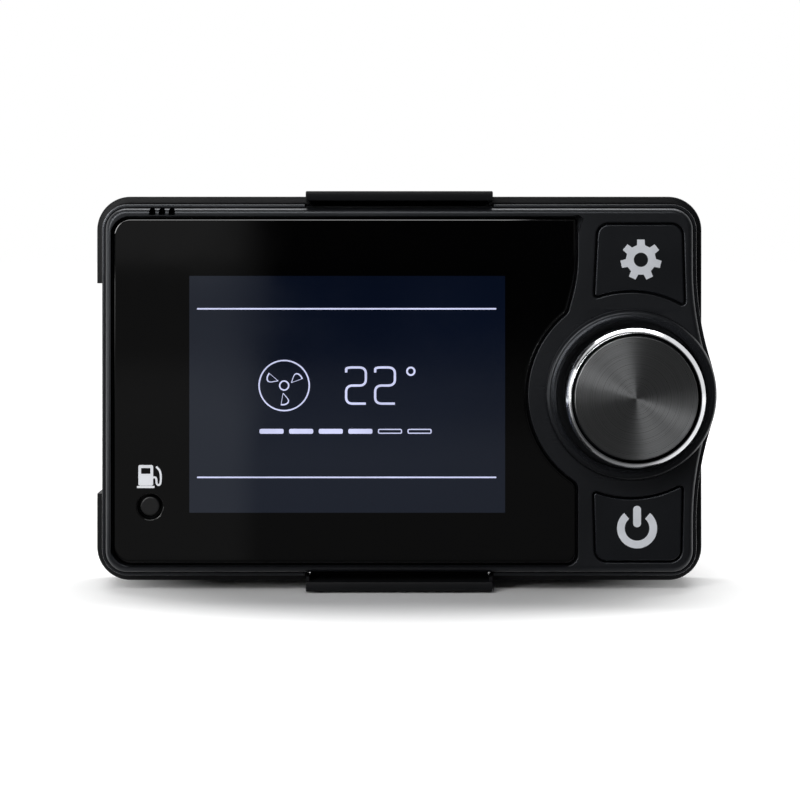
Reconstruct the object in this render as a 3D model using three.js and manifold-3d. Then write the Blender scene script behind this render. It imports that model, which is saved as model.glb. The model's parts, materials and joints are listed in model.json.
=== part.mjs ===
// Control panel of a diesel air heater, clipped into its wall cradle.
// Millimetres, +Z up, +X to the right of someone who faces the panel.
// The wall plane is y = 0 and the front looks along -Y, so a "depth" is a distance in front of the wall.

import * as THREE from "three";
import { mergeVertices } from "three/addons/utils/BufferGeometryUtils.js";
import Module from "manifold-3d";

const wasm = await Module();
wasm.setup();

// ---- Driving dimensions ----

const SEAT = 0.3; // gap where two pieces rest on each other
const RUN = 0.12; // radial clearance of what turns or slides in a bore

// Panel housing
const PANEL_CORNER = 4.4;
const WALL = 1.8;

// Depths of the stack, from the wall forwards
const CRADLE_PLATE = 2;
const CRADLE_RIM = 14.5; // front edge of the rim
const SHELL_FLOOR = 1.6;
const UNDER_BOARD = 4.1; // room behind the board
const BOARD_THICK = 1.6;
const BOARD_TO_FACE = 10.4;
const FACE_THICK = 2.2;
const LENS_BELOW_FACE = 0.8;
const LENS_THICK = 1.2;
const TAPE_THICK = 0.4;
const DECK_THICK = 1;

// Cradle
const CRADLE_FIT = 0.3; // between the rim and the panel
const CRADLE_WALL = 1.45;
const NOTCH_LENGTH = 38.8; // finger notch in the left rim
const NOTCH_FLOOR = 5;
const ARM_WIDTH = 34; // grip bar
const ARM_PROUD_TOP = 0.9; // grip bar beyond the rim
const ARM_PROUD_BOTTOM = 1.1;
const ARM_BAR = 1.75; // grip bar, thickness
const ARM_ROUND = 0.6; // its front edge
const ARM_PAST_FACE = 1.2;
const ARM_OFF_RIM = 0.5; // grip bar in front of the rim
const ARM_RAMP = 2.5;
const ARM_SLIT = 0.6;
const HOOK_WIDTH = 14;
const HOOK_REACH = 0.6; // into the panel's side
const HOOK_DEPTH = 2.4;
const HOOK_SETBACK = 1.4; // in front of the housing's rear edge
const POCKET_CLEAR = 0.5; // round the hook
const WALL_SCREW_R = 1.9;
const WALL_SCREW_IN_X = 10.05; // from the panel's sides
const WALL_SCREW_IN_Z = 9.65;
const CABLE_WIDTH = 26;
const CABLE_HEIGHT = 15;

// Finger scoop in the panel's left side, behind the notch
const SCOOP_LENGTH = 30;
const SCOOP_DEEP = 3.3;
const SCOOP_LEDGE = 1.6; // thickness of the housing's edge over it

// Flare of the housing round the knob
const FLARE_HEIGHT = 3.55;
const FLARE_HALF = 23.1;
const FLARE_TIP_R = 20;
const FLARE_ABOVE_RIM = 0.7;

// Front edge of the housing
const LIP_OVER_RIM = 0.25; // the lip hides the gap inside the rim
const LIP_INSET = 0.45;
const LIP_GROOVE = 0.2;
const LIP_BELOW_FACE = 1.4;
const LIP_STEP = 0.35;
const EDGE_ROUND = 1.05;

// Lens recess
const BEZEL_LEFT = 1.45;
const BEZEL_TOP = 1.95;
const BEZEL_BOTTOM = 1.65;
const LENS_RIGHT = 9.6; // lens edge, left of the knob axis
const LENS_BEND = 7.2; // from its top, where the right side bends in towards the knob
const LENS_BEND_R = 28;
const LENS_LEAN = THREE.MathUtils.degToRad(15);
const LENS_ARC = 18.7; // about the knob axis
const LENS_CORNER = 3.6;
const LENS_FILLET = 2.2;
const LENS_TIP = 0.8;
const RECESS_CHAMFER = 0.35;
const PRY_REACH = 0.85; // notch at the lens's upper right corner
const PRY_HEIGHT = 2.9;

// Display. The picture and what surrounds it set the size of the panel.
const ACTIVE_WIDTH = 57.6; // 2.8 inch, 4:3
const ACTIVE_HEIGHT = 43.2;
const PICTURE_FROM_LEFT = 15.75; // from the panel's left side
const PICTURE_FROM_TOP = 12.8;
const PICTURE_FROM_BOTTOM = 11.3;
const PICTURE_TO_KNOB = 22.9; // from its right edge to the knob axis
const CELL_MARGIN = 1.5;
const CELL_THICK = 1.6;
const FRAME_MARGIN = 2.4; // backlight frame beyond the cell, where it has a flange
const FRAME_THICK = 2.6;
const FLEX_WIDTH = 18;
const FLEX_THICK = 0.25;
const FLEX_BEND = 1.4;
const FLEX_LAP = 2; // under the cell
const FLEX_PAST_CELL = 0.9;
const FLEX_ABOVE_BOARD = 2.2;
const FLEX_SOCKET_END = 1.5; // connector beyond the strip's edges
const FLEX_SOCKET_LEFT = 2.4;
const FLEX_SOCKET_RIGHT = 1.8;
const PAD_IN_LEFT = 8; // foam pad, from the picture's edges
const PAD_IN_RIGHT = 12;
const PAD_IN_Z = 5;

// Knob and its collar
const KNOB_FROM_RIGHT = 11.85;
const KNOB_Z = -0.8;
const KNOB_R = 12.5;
const KNOB_TOP = 9.8; // above the face
const KNOB_PUSH = 0.5;
const CAP_THICK = 1.5;
const CAP_GROOVE = 0.55; // between the cap and the ring
const BEVEL_WIDTH = 0.95;
const BEVEL_DROP = 0.9;
const WELL_R = 13.55;
const WELL_DEPTH = 2.6; // below the face
const WELL_FLOOR = 1.4;
const COLLAR_FOOT = 15.6;
const COLLAR_CREST_R = 14.8;
const COLLAR_RISE = 1.2;
const COLLAR_DROP = 0.5; // from the crest to the well's edge

// Keys
const KEY_GROOVE = 0.35;
const KEY_ARC = 19;
const KEY_CORNER = 2;
const KEY_TIP = 0.4;
const KEY_THICK = 2.5;
const KEY_FLANGE = 0.7;
const KEY_FLANGE_THICK = 0.6;
const KEY_TRAVEL = 0.4;
const KEY_CHAMFER = 0.25;
const GEAR_KEY_FAR = 3.45; // far edge, from the top of the panel
const GEAR_KEY_LEFT = 5.95; // far corners, from the knob axis
const GEAR_KEY_RIGHT = 9.25;
const GEAR_KEY_LEFT_LEAN = THREE.MathUtils.degToRad(2.8);
const GEAR_KEY_RIGHT_LEAN = THREE.MathUtils.degToRad(1.7);
const POWER_KEY_FAR = 2.65; // far edge, from the bottom of the panel
const POWER_KEY_LEFT = 6.4;
const POWER_KEY_RIGHT = 9;
const POWER_KEY_LEFT_LEAN = THREE.MathUtils.degToRad(1.6);
const POWER_KEY_RIGHT_LEAN = THREE.MathUtils.degToRad(1.2);

// Tact switches under the keys
const SWITCH_SIZE = 6;
const SWITCH_THICK = 3.5;
const SWITCH_PLUNGER_R = 1.75;
const SWITCH_PLUNGER_RISE = KEY_TRAVEL + 0.3;
const SMALL_SWITCH_SIZE = 4.5;

// Prime button, in the lower left of the lens
const PRIME_FROM_PICTURE = 7.2;
const PRIME_FROM_BOTTOM = 12.45;
const PRIME_HOLE_R = 2.25;
const PRIME_CAP_R = 1.775;
const PRIME_BELOW_LENS = 0.25;

// Room sensor vents
const VENT_COUNT = 3;
const VENT_WIDTH = 1.2;
const VENT_PITCH = 1.78;
const VENT_FROM_LEFT = 9.05; // first slot
const VENT_TIP = 0.25; // skin left at the tip
const VENT_LENGTH = 1.45;

// Case screws and board screws
const CASE_SCREW_IN_X = 3.85; // from the panel's sides
const CASE_SCREW_IN_Z = 4.25;
const CASE_SCREW_R = 1.1;
const CASE_HEAD_R = 2.1;
const CASE_HEAD_THICK = 1.5;
const CASE_BOSS_R = 2.8;
const CASE_BOSS_CLEAR = 0.8; // board round a boss
const BOARD_SCREW_R = 0.85;
const BOARD_HEAD_R = 1.8;
const BOARD_HEAD_THICK = 1.1;
const BOARD_POST_R = 2.2;
const BOARD_POST_CLEAR = 0.6; // beyond the backlight frame
const BOARD_SCREW_IN_LEFT = 2; // from the picture's left edge
const BOARD_SCREW_PAST_RIGHT = 6;
const BOARD_IN_X = 1.7; // board, from the housing's walls
const BOARD_IN_Z = 1.5;

// Rotary encoder
const ENCODER_SIZE = 12;
const ENCODER_BASE = 4.2;
const ENCODER_CASE_THICK = 0.6;
const SHAFT_R = 3;
const SHAFT_FLAT = 1.5; // flat, from the axis
const NECK_R = 3.5;
const ROTOR_R = 4.6;
const ROTOR_THICK = 1.2;
const ROTOR_TEETH = 24;
const TOOTH_DEPTH = 0.25;
const DETENT_ANGLE = Math.PI / 4;

// Controller chip on the back of the board
const CHIP_X = -18;
const CHIP_Z = 8;
const CHIP_THICK = 1.5;
const CHIP_LEADS = 8; // on each side
const CHIP_PITCH = 1.27;

// Rear connector
const SOCKET_WIDTH = 14;
const SOCKET_HEIGHT = 8;
const SOCKET_WALL = 1;
const SOCKET_FLOOR = 1;
const SOCKET_FROM_BOTTOM = 14.15;
const PIN_COUNT = 4;
const PIN_PITCH = 2.5;
const PIN_SIZE = 0.64;
const PIN_LENGTH = 2;

// ---- Levels and places worked out from them ----

const shellBack = CRADLE_PLATE + SEAT;
const shellInside = shellBack + SHELL_FLOOR;
const boardBack = shellInside + UNDER_BOARD;
const boardFront = boardBack + BOARD_THICK;
const shellFront = boardFront + 0.1;
const housingBack = shellFront + SEAT;
const face = boardFront + BOARD_TO_FACE;
const lensFront = face - LENS_BELOW_FACE;
const lensBack = lensFront - LENS_THICK;
const tapeBack = lensBack - SEAT - TAPE_THICK;
const deckFront = tapeBack - SEAT;
const deckBack = deckFront - DECK_THICK;
const wellFloor = face - WELL_DEPTH;
const wellBack = wellFloor - WELL_FLOOR;
const partOnBoard = boardFront + SEAT;
const hookBack = housingBack + HOOK_SETBACK;

const halfWidth = (PICTURE_FROM_LEFT + ACTIVE_WIDTH + PICTURE_TO_KNOB + KNOB_FROM_RIGHT) / 2;
const halfHeight = (PICTURE_FROM_TOP + ACTIVE_HEIGHT + PICTURE_FROM_BOTTOM) / 2;
const knobX = halfWidth - KNOB_FROM_RIGHT;
const lensLeft = -halfWidth + BEZEL_LEFT;
const lensTop = halfHeight - BEZEL_TOP;
const lensBottom = -halfHeight + BEZEL_BOTTOM;
const lensRight = knobX - LENS_RIGHT;
const pictureLeft = -halfWidth + PICTURE_FROM_LEFT;
const pictureRight = pictureLeft + ACTIVE_WIDTH;
const activeX = (pictureLeft + pictureRight) / 2;
const activeZ = (PICTURE_FROM_BOTTOM - PICTURE_FROM_TOP) / 2;
const primeX = pictureLeft - PRIME_FROM_PICTURE;
const primeZ = -halfHeight + PRIME_FROM_BOTTOM;
const cellHalfWidth = ACTIVE_WIDTH / 2 + CELL_MARGIN;
const cellHalfHeight = ACTIVE_HEIGHT / 2 + CELL_MARGIN;
const cellFront = lensBack - SEAT;
const cellBack = cellFront - CELL_THICK;
const frameFront = Math.min(cellBack, deckBack) - SEAT;
const frameBack = frameFront - FRAME_THICK;
const keyCentreX = knobX + (GEAR_KEY_RIGHT - GEAR_KEY_LEFT) / 2;
const gearKeyZ = (halfHeight - GEAR_KEY_FAR + KNOB_Z + KEY_ARC) / 2;
const powerKeyZ = (-halfHeight + POWER_KEY_FAR + KNOB_Z - KEY_ARC) / 2;
const rimOutset = CRADLE_FIT + CRADLE_WALL;
const scoopRight = -halfWidth + SCOOP_DEEP;
const scoopHalf = SCOOP_LENGTH / 2;
const socketZ = -halfHeight + SOCKET_FROM_BOTTOM;

const QUARTER = Math.PI / 2;
const ARC_STEPS = 1.3; // fineness of the outlines' arcs

// ---- Solids ----

// A closed geometry as a solid that can be joined and cut.
function solidOf(geometry) {
  const bare = geometry.clone();
  bare.deleteAttribute("normal");
  bare.deleteAttribute("uv");
  const merged = mergeVertices(bare, 1e-4);
  const corners = merged.index.array;
  const kept = [];
  for (let i = 0; i < corners.length; i += 3) {
    const [a, b, c] = corners.slice(i, i + 3);
    if (a !== b && b !== c && c !== a) kept.push(a, b, c);
  }
  return new wasm.Manifold(
    new wasm.Mesh({
      numProp: 3,
      vertProperties: merged.attributes.position.array,
      triVerts: new Uint32Array(kept),
    }),
  );
}

// A solid as a geometry for a mesh.
function geometryOf(solid) {
  const { vertProperties, triVerts } = solid.getMesh();
  const geometry = new THREE.BufferGeometry();
  geometry.setAttribute("position", new THREE.BufferAttribute(vertProperties, 3));
  geometry.setIndex(new THREE.BufferAttribute(triVerts, 1));
  geometry.computeVertexNormals();
  return geometry;
}

function joined(solids) {
  return solids.reduce((whole, next) => whole.add(next));
}

function cut(solid, ...tools) {
  return tools.flat().reduce((left, tool) => left.subtract(tool), solid);
}

// An outline in the panel's plane, pushed forwards from one depth to another.
function slab(points, back, front, hole = null) {
  const shape = new THREE.Shape(points);
  if (hole) shape.holes.push(new THREE.Path(hole));
  const geometry = new THREE.ExtrudeGeometry(shape, { depth: front - back, bevelEnabled: false });
  geometry.translate(0, 0, back);
  geometry.rotateX(QUARTER);
  return solidOf(geometry);
}

// A solid through outlines with the same number of points, from the rear one to the front one.
function loft(levels) {
  const count = levels[0].points.length;
  const positions = [];
  for (const { depth, points } of levels)
    for (const point of points) positions.push(point.x, -depth, point.y);
  const corners = [];
  for (let level = 0; level + 1 < levels.length; level += 1) {
    for (let i = 0; i < count; i += 1) {
      const rear = level * count + i;
      const rearNext = level * count + ((i + 1) % count);
      corners.push(rear, rearNext, rearNext + count, rear, rearNext + count, rear + count);
    }
  }
  const last = (levels.length - 1) * count;
  const rearCap = THREE.ShapeUtils.triangulateShape(levels[0].points, []);
  const frontCap = THREE.ShapeUtils.triangulateShape(levels[levels.length - 1].points, []);
  for (const [a, b, c] of rearCap) corners.push(c, b, a);
  for (const [a, b, c] of frontCap) corners.push(last + a, last + b, last + c);
  const geometry = new THREE.BufferGeometry();
  geometry.setAttribute("position", new THREE.Float32BufferAttribute(positions, 3));
  geometry.setIndex(corners);
  return solidOf(geometry);
}

// A profile of radius and depth, turned about an axis that points at the wall.
function turned(profile, x, z, segments = 24) {
  const points = profile.map(([radius, depth]) => new THREE.Vector2(radius, depth));
  const geometry = new THREE.LatheGeometry(points, segments);
  geometry.rotateX(Math.PI);
  geometry.translate(x, 0, z);
  return solidOf(geometry);
}

function rod(radius, back, front, x, z, segments = 24) {
  return turned([[0, back], [radius, back], [radius, front], [0, front]], x, z, segments);
}

function block(left, right, back, front, bottom, top) {
  const geometry = new THREE.BoxGeometry(right - left, front - back, top - bottom);
  geometry.translate((left + right) / 2, -(back + front) / 2, (bottom + top) / 2);
  return solidOf(geometry);
}

// A profile of depth and height, run sideways from one x to another.
function sideways(profile, left, right) {
  const shape = new THREE.Shape(profile.map(([depth, z]) => new THREE.Vector2(depth, z)));
  const geometry = new THREE.ExtrudeGeometry(shape, { depth: right - left, bevelEnabled: false });
  const basis = new THREE.Matrix4().makeBasis(
    new THREE.Vector3(0, -1, 0),
    new THREE.Vector3(0, 0, 1),
    new THREE.Vector3(-1, 0, 0),
  );
  geometry.applyMatrix4(basis);
  geometry.translate(right, 0, 0);
  return solidOf(geometry);
}

// ---- Outlines ----

// An arc of an outline. A positive radius bulges outwards, and a negative one inwards.
function arc(x, z, radius, from, to) {
  return { x, z, radius, from, to };
}

// The points of arcs joined by straight lines, drawn inwards by inset.
// Where the inset is more than an outward radius, the corner comes to a point.
function outline(arcs, inset = 0) {
  const points = [];
  for (const { x, z, radius, from, to } of arcs) {
    const steps = Math.max(3, Math.ceil(Math.abs(to - from) * Math.sqrt(Math.abs(radius)) * ARC_STEPS));
    const drawn = radius < 0 ? -radius + inset : Math.max(radius - inset, 0.02);
    const past = radius < 0 ? 0 : Math.min(0, radius - inset) / Math.cos((to - from) / 2);
    const middle = (from + to) / 2;
    for (let i = 0; i <= steps; i += 1) {
      const angle = from + ((to - from) * i) / steps;
      points.push(
        new THREE.Vector2(
          x + past * Math.cos(middle) + drawn * Math.cos(angle),
          z + past * Math.sin(middle) + drawn * Math.sin(angle),
        ),
      );
    }
  }
  return points;
}

function rectangle(left, right, bottom, top, corner, inset = 0) {
  return outline(
    [
      arc(right - corner, bottom + corner, corner, -QUARTER, 0),
      arc(right - corner, top - corner, corner, 0, QUARTER),
      arc(left + corner, top - corner, corner, QUARTER, 2 * QUARTER),
      arc(left + corner, bottom + corner, corner, 2 * QUARTER, 3 * QUARTER),
    ],
    inset,
  );
}

// The panel without its flare.
function panelOutline(inset = 0) {
  return rectangle(-halfWidth, halfWidth, -halfHeight, halfHeight, PANEL_CORNER, inset);
}

// The panel with its right side swept out round the knob by two hollow arcs and a full one.
function flaredOutline(inset = 0) {
  const sweep = 2 * Math.atan(FLARE_HEIGHT / FLARE_HALF);
  const hollowR = FLARE_HALF / Math.sin(sweep) - FLARE_TIP_R;
  const side = halfWidth + hollowR;
  const tip = halfWidth + FLARE_HEIGHT - FLARE_TIP_R;
  const corner = PANEL_CORNER;
  const half = 2 * QUARTER;
  return outline(
    [
      arc(halfWidth - corner, -halfHeight + corner, corner, -QUARTER, 0),
      arc(side, KNOB_Z - FLARE_HALF, -hollowR, half, half - sweep),
      arc(tip, KNOB_Z, FLARE_TIP_R, -sweep, sweep),
      arc(side, KNOB_Z + FLARE_HALF, -hollowR, half + sweep, half),
      arc(halfWidth - corner, halfHeight - corner, corner, 0, QUARTER),
      arc(-halfWidth + corner, halfHeight - corner, corner, QUARTER, half),
      arc(-halfWidth + corner, -halfHeight + corner, corner, half, 3 * QUARTER),
    ],
    inset,
  );
}

// Centre of a fillet that touches a leaning line from one side and the circle round the knob from
// outside. The line passes x at height z and leans by lean; side is -1 when the fillet is left of it.
function filletCentre(x, z, lean, side, radius, reach) {
  const along = new THREE.Vector2(Math.sin(lean), Math.cos(lean));
  const across = new THREE.Vector2(Math.cos(lean), -Math.sin(lean)).multiplyScalar(side * radius);
  const start = new THREE.Vector2(x - knobX, z - KNOB_Z).add(across);
  const back = start.dot(along);
  const rest = start.lengthSq() - (reach + radius) ** 2;
  const distance = -back + Math.sign(z - KNOB_Z) * Math.sqrt(back * back - rest);
  return start.addScaledVector(along, distance);
}

// The lens: rounded on the left, and hollowed on the right by an arc round the knob. Its right side
// bends in above that arc.
function lensOutline(inset = 0) {
  const low = filletCentre(lensRight, lensBottom, 0, -1, LENS_FILLET, LENS_ARC);
  const bendX = lensRight - LENS_BEND_R;
  const bendZ = lensTop - LENS_BEND;
  const high = filletCentre(
    bendX + LENS_BEND_R * Math.cos(LENS_LEAN),
    bendZ - LENS_BEND_R * Math.sin(LENS_LEAN),
    LENS_LEAN,
    -1,
    LENS_FILLET,
    LENS_ARC,
  );
  const lowAngle = low.angle();
  const highAngle = high.angle();
  const half = 2 * QUARTER;
  return outline(
    [
      arc(lensRight - LENS_FILLET, lensBottom + LENS_FILLET, LENS_FILLET, -QUARTER, 0),
      arc(knobX + low.x, KNOB_Z + low.y, LENS_FILLET, 0, lowAngle - half),
      arc(knobX, KNOB_Z, -LENS_ARC, lowAngle, highAngle),
      arc(knobX + high.x, KNOB_Z + high.y, LENS_FILLET, highAngle - half, -LENS_LEAN),
      arc(bendX, bendZ, LENS_BEND_R, -LENS_LEAN, 0),
      arc(lensRight - LENS_TIP, lensTop - LENS_TIP, LENS_TIP, 0, QUARTER),
      arc(lensLeft + LENS_CORNER, lensTop - LENS_CORNER, LENS_CORNER, QUARTER, half),
      arc(lensLeft + LENS_CORNER, lensBottom + LENS_CORNER, LENS_CORNER, half, 3 * QUARTER),
    ],
    inset,
  );
}

// A key above the knob, seen from the front and placed from the knob axis: leaning sides, two round
// far corners, and a near edge hollowed round the knob.
function keyOutline(far, left, right, leftLean, rightLean, inset) {
  const nearLeft = filletCentre(knobX - left, KNOB_Z + far, leftLean, 1, KEY_TIP, KEY_ARC);
  const nearRight = filletCentre(knobX + right, KNOB_Z + far, -rightLean, -1, KEY_TIP, KEY_ARC);
  const half = 2 * QUARTER;
  const rightIn = (KEY_CORNER * (1 - Math.sin(rightLean))) / Math.cos(rightLean);
  const leftIn = (KEY_CORNER * (1 - Math.sin(leftLean))) / Math.cos(leftLean);
  return outline(
    [
      arc(0, 0, -KEY_ARC, nearLeft.angle(), nearRight.angle()),
      arc(nearRight.x, nearRight.y, KEY_TIP, nearRight.angle() - half, rightLean),
      arc(right - rightIn, far - KEY_CORNER, KEY_CORNER, rightLean, QUARTER),
      arc(-left + leftIn, far - KEY_CORNER, KEY_CORNER, QUARTER, half - leftLean),
      arc(nearLeft.x, nearLeft.y, KEY_TIP, half - leftLean, nearLeft.angle() + half),
    ],
    inset,
  );
}

function gearKeyOutline(inset = 0) {
  const far = halfHeight - GEAR_KEY_FAR - KNOB_Z;
  const sides = [GEAR_KEY_LEFT, GEAR_KEY_RIGHT, GEAR_KEY_LEFT_LEAN, GEAR_KEY_RIGHT_LEAN];
  return keyOutline(far, ...sides, inset).map(
    (point) => new THREE.Vector2(knobX + point.x, KNOB_Z + point.y),
  );
}

// The power key is a key above the knob, turned over to lie below it.
function powerKeyOutline(inset = 0) {
  const far = halfHeight - POWER_KEY_FAR + KNOB_Z;
  const sides = [POWER_KEY_LEFT, POWER_KEY_RIGHT, POWER_KEY_LEFT_LEAN, POWER_KEY_RIGHT_LEAN];
  return keyOutline(far, ...sides, inset)
    .map((point) => new THREE.Vector2(knobX + point.x, KNOB_Z - point.y))
    .reverse();
}

// ---- Places of the fasteners ----

const caseScrewPlaces = [-1, 1].flatMap((side) =>
  [-1, 1].map((end) => [side * (halfWidth - CASE_SCREW_IN_X), end * (halfHeight - CASE_SCREW_IN_Z)]),
);
const boardScrewX = [pictureLeft + BOARD_SCREW_IN_LEFT, pictureRight + BOARD_SCREW_PAST_RIGHT];
const boardScrewOut = cellHalfHeight + FRAME_MARGIN + BOARD_POST_R + BOARD_POST_CLEAR;
const boardScrewPlaces = boardScrewX.flatMap((x) =>
  [-1, 1].map((end) => [x, activeZ + end * boardScrewOut]),
);
const boardEdgeX = halfWidth - WALL - BOARD_IN_X;
const boardEdgeZ = halfHeight - WALL - BOARD_IN_Z;

// ---- Cradle ----

// One snap arm: a blade cut free of the rim by two slits, a grip bar across its front, which covers
// the slits, cheeks that close the bar's ends, and a hook inside. It is drawn for the top and turned
// over for the bottom.
function snapArm(end, proud) {
  const rimInside = halfHeight + CRADLE_FIT;
  const rimOutside = halfHeight + rimOutset;
  const barTop = rimOutside + proud;
  const barLow = barTop - ARM_BAR;
  const barFront = face + ARM_PAST_FACE;
  const barBack = CRADLE_RIM + ARM_OFF_RIM;
  const blade = [
    [CRADLE_PLATE / 2, rimInside],
    [CRADLE_PLATE / 2, rimOutside],
    [barBack - ARM_RAMP, rimOutside],
    [barBack, barTop],
    [barBack + 1, barTop],
    [barBack + 1, barLow],
    [barBack - 1, rimInside],
  ];
  const edge = [0, 1, 2, 3].map((i) => {
    const angle = (i / 3) * QUARTER;
    return [barFront - ARM_ROUND * (1 - Math.sin(angle)), barTop - ARM_ROUND * (1 - Math.cos(angle))];
  });
  const bar = [[barBack, barTop], ...edge, [barFront, barLow], [barBack, barLow]];
  const hookTip = halfHeight - HOOK_REACH;
  const hook = [
    [hookBack, rimInside + 0.2],
    [hookBack, hookTip],
    [hookBack + 0.8, hookTip],
    [hookBack + HOOK_DEPTH, rimInside + 0.2],
  ];
  const half = ARM_WIDTH / 2;
  const bladeHalf = half - ARM_SLIT;
  const cheeks = [-half, bladeHalf].map((left) =>
    block(left, left + ARM_SLIT, barBack, barFront - 1.5, rimInside, barLow + 0.1),
  );
  const arm = joined([
    sideways(blade, -bladeHalf, bladeHalf),
    sideways(bar, -half, half),
    sideways(hook, -HOOK_WIDTH / 2, HOOK_WIDTH / 2),
    ...cheeks,
  ]);
  return end > 0 ? arm : arm.rotate([0, 180, 0]);
}

// A screw hole through the cradle's plate, countersunk from inside.
function countersunkHole(x, z) {
  const head = WALL_SCREW_R + 1.6;
  return turned(
    [[0, -1], [WALL_SCREW_R, -1], [WALL_SCREW_R, 0.5], [head, CRADLE_PLATE + 0.1],
      [head, CRADLE_PLATE + 1], [0, CRADLE_PLATE + 1]],
    x,
    z,
  );
}

// An open tray round the panel, with a plate on the wall, a finger notch and two snap arms.
function cradle() {
  const tray = loft([
    { depth: 0, points: panelOutline(0.5 - rimOutset) },
    { depth: 0.5, points: panelOutline(-rimOutset) },
    { depth: CRADLE_RIM - 0.4, points: panelOutline(-rimOutset) },
    { depth: CRADLE_RIM, points: panelOutline(0.35 - rimOutset) },
  ]);
  const inside = slab(panelOutline(-CRADLE_FIT), CRADLE_PLATE, CRADLE_RIM + 1);
  const notchHalf = NOTCH_LENGTH / 2;
  const edge = -halfWidth - rimOutset - 1;
  const notch = block(edge, -halfWidth + 1, NOTCH_FLOOR, CRADLE_RIM + 1, -notchHalf, notchHalf);
  const cable = rectangle(
    -CABLE_WIDTH / 2,
    CABLE_WIDTH / 2,
    socketZ - CABLE_HEIGHT / 2,
    socketZ + CABLE_HEIGHT / 2,
    2,
  );
  const slits = [-1, 1].flatMap((end) =>
    [-1, 1].map((side) => {
      const far = side * (ARM_WIDTH / 2);
      const near = far - side * ARM_SLIT;
      const low = halfHeight - 1;
      const high = halfHeight + rimOutset + 1;
      return block(
        Math.min(near, far),
        Math.max(near, far),
        CRADLE_PLATE,
        CRADLE_RIM + 1,
        end > 0 ? low : -high,
        end > 0 ? high : -low,
      );
    }),
  );
  const screwHoles = [-1, 1].flatMap((side) =>
    [-1, 1].map((end) =>
      countersunkHole(side * (halfWidth - WALL_SCREW_IN_X), end * (halfHeight - WALL_SCREW_IN_Z)),
    ),
  );
  const open = cut(tray, inside, notch, slab(cable, -1, CRADLE_PLATE + 1), slits, screwHoles);
  return joined([open, snapArm(1, ARM_PROUD_TOP), snapArm(-1, ARM_PROUD_BOTTOM)]);
}

// ---- Rear shell ----

// The finger scoop's space, from one depth to another, grown inwards by a wall.
function scoopBlock(back, front, wall = 0) {
  return block(-halfWidth - 1, scoopRight + wall, back, front, -scoopHalf - wall, scoopHalf + wall);
}

function rearShell() {
  const outer = SEAT;
  const shell = loft([
    { depth: shellBack, points: panelOutline(outer + 0.7) },
    { depth: shellBack + 0.7, points: panelOutline(outer) },
    { depth: shellFront, points: panelOutline(outer) },
  ]);
  const inside = cut(
    slab(panelOutline(outer + WALL), shellInside, shellFront + 1),
    scoopBlock(0, shellFront + 2, WALL),
  );
  const socket = block(
    -SOCKET_WIDTH / 2 - SEAT,
    SOCKET_WIDTH / 2 + SEAT,
    shellBack - 1,
    shellInside + 1,
    socketZ - SOCKET_HEIGHT / 2 - SEAT,
    socketZ + SOCKET_HEIGHT / 2 + SEAT,
  );
  const bosses = caseScrewPlaces.map(([x, z]) => rod(CASE_BOSS_R, shellInside - 0.5, shellFront, x, z, 20));
  const holes = caseScrewPlaces.map(([x, z]) => {
    const hole = CASE_SCREW_R + SEAT;
    const head = CASE_HEAD_R + SEAT;
    const seat = shellBack + CASE_HEAD_THICK + 2 * SEAT;
    return turned(
      [[0, 0], [head, 0], [head, seat], [hole, seat], [hole, shellFront + 1], [0, shellFront + 1]],
      x,
      z,
      16,
    );
  });
  const posts = boardScrewX.map((x) => rod(1.5, shellInside - 0.5, boardBack - SEAT, x, activeZ));
  const scoop = scoopBlock(NOTCH_FLOOR, shellFront + 1);
  return cut(joined([cut(shell, inside), ...bosses, ...posts]), socket, scoop, holes);
}

// ---- Front housing ----

// The raised ring round the knob: a round outer slope, a crest, and a lip that drops into the well.
function collar() {
  const rise = Array.from({ length: 6 }, (_, i) => {
    const angle = (i / 5) * QUARTER;
    const width = COLLAR_FOOT - COLLAR_CREST_R;
    return [COLLAR_FOOT - width * (1 - Math.cos(angle)), face + COLLAR_RISE * Math.sin(angle)];
  });
  return turned(
    [
      [WELL_R - 0.5, wellFloor],
      [COLLAR_FOOT, wellFloor],
      ...rise,
      [(COLLAR_CREST_R + WELL_R) / 2, face + COLLAR_RISE - COLLAR_DROP / 4],
      [WELL_R, face + COLLAR_RISE - COLLAR_DROP],
      [WELL_R - 0.5, face],
      [WELL_R - 0.5, wellFloor],
    ],
    knobX,
    KNOB_Z,
    48,
  );
}

// A slot through the top bezel with a pointed tip, opened inwards so that air reaches the sensor.
function vent(index) {
  const x = -halfWidth + VENT_FROM_LEFT + index * VENT_PITCH;
  const half = VENT_WIDTH / 2;
  const tip = halfHeight - VENT_TIP;
  const low = tip - VENT_LENGTH;
  const plan = [[x - half, low], [x + half, low], [x + half, tip - 0.7], [x + half / 2, tip - 0.15],
    [x, tip], [x - half / 2, tip - 0.15], [x - half, tip - 0.7]].map(([px, pz]) => new THREE.Vector2(px, pz));
  const duct = block(x - half, x + half, deckBack - 2.4, deckBack - 0.4, halfHeight - WALL - 1, low + 1);
  return slab(plan, deckBack - 2.4, face + 1).add(duct);
}

// A sloping notch beside the recess, to lift the lens by its upper right corner.
function pryNotch() {
  const plan = (grown) =>
    [[-PRY_REACH, grown], [PRY_REACH + grown, -PRY_REACH / 2], [grown / 2, -PRY_HEIGHT],
      [-PRY_REACH, -PRY_HEIGHT]].map(([x, z]) => new THREE.Vector2(lensRight + x, lensTop + z)).reverse();
  return loft([
    { depth: lensBack, points: plan(0) },
    { depth: face + 0.01, points: plan(0.25) },
  ]);
}

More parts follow.
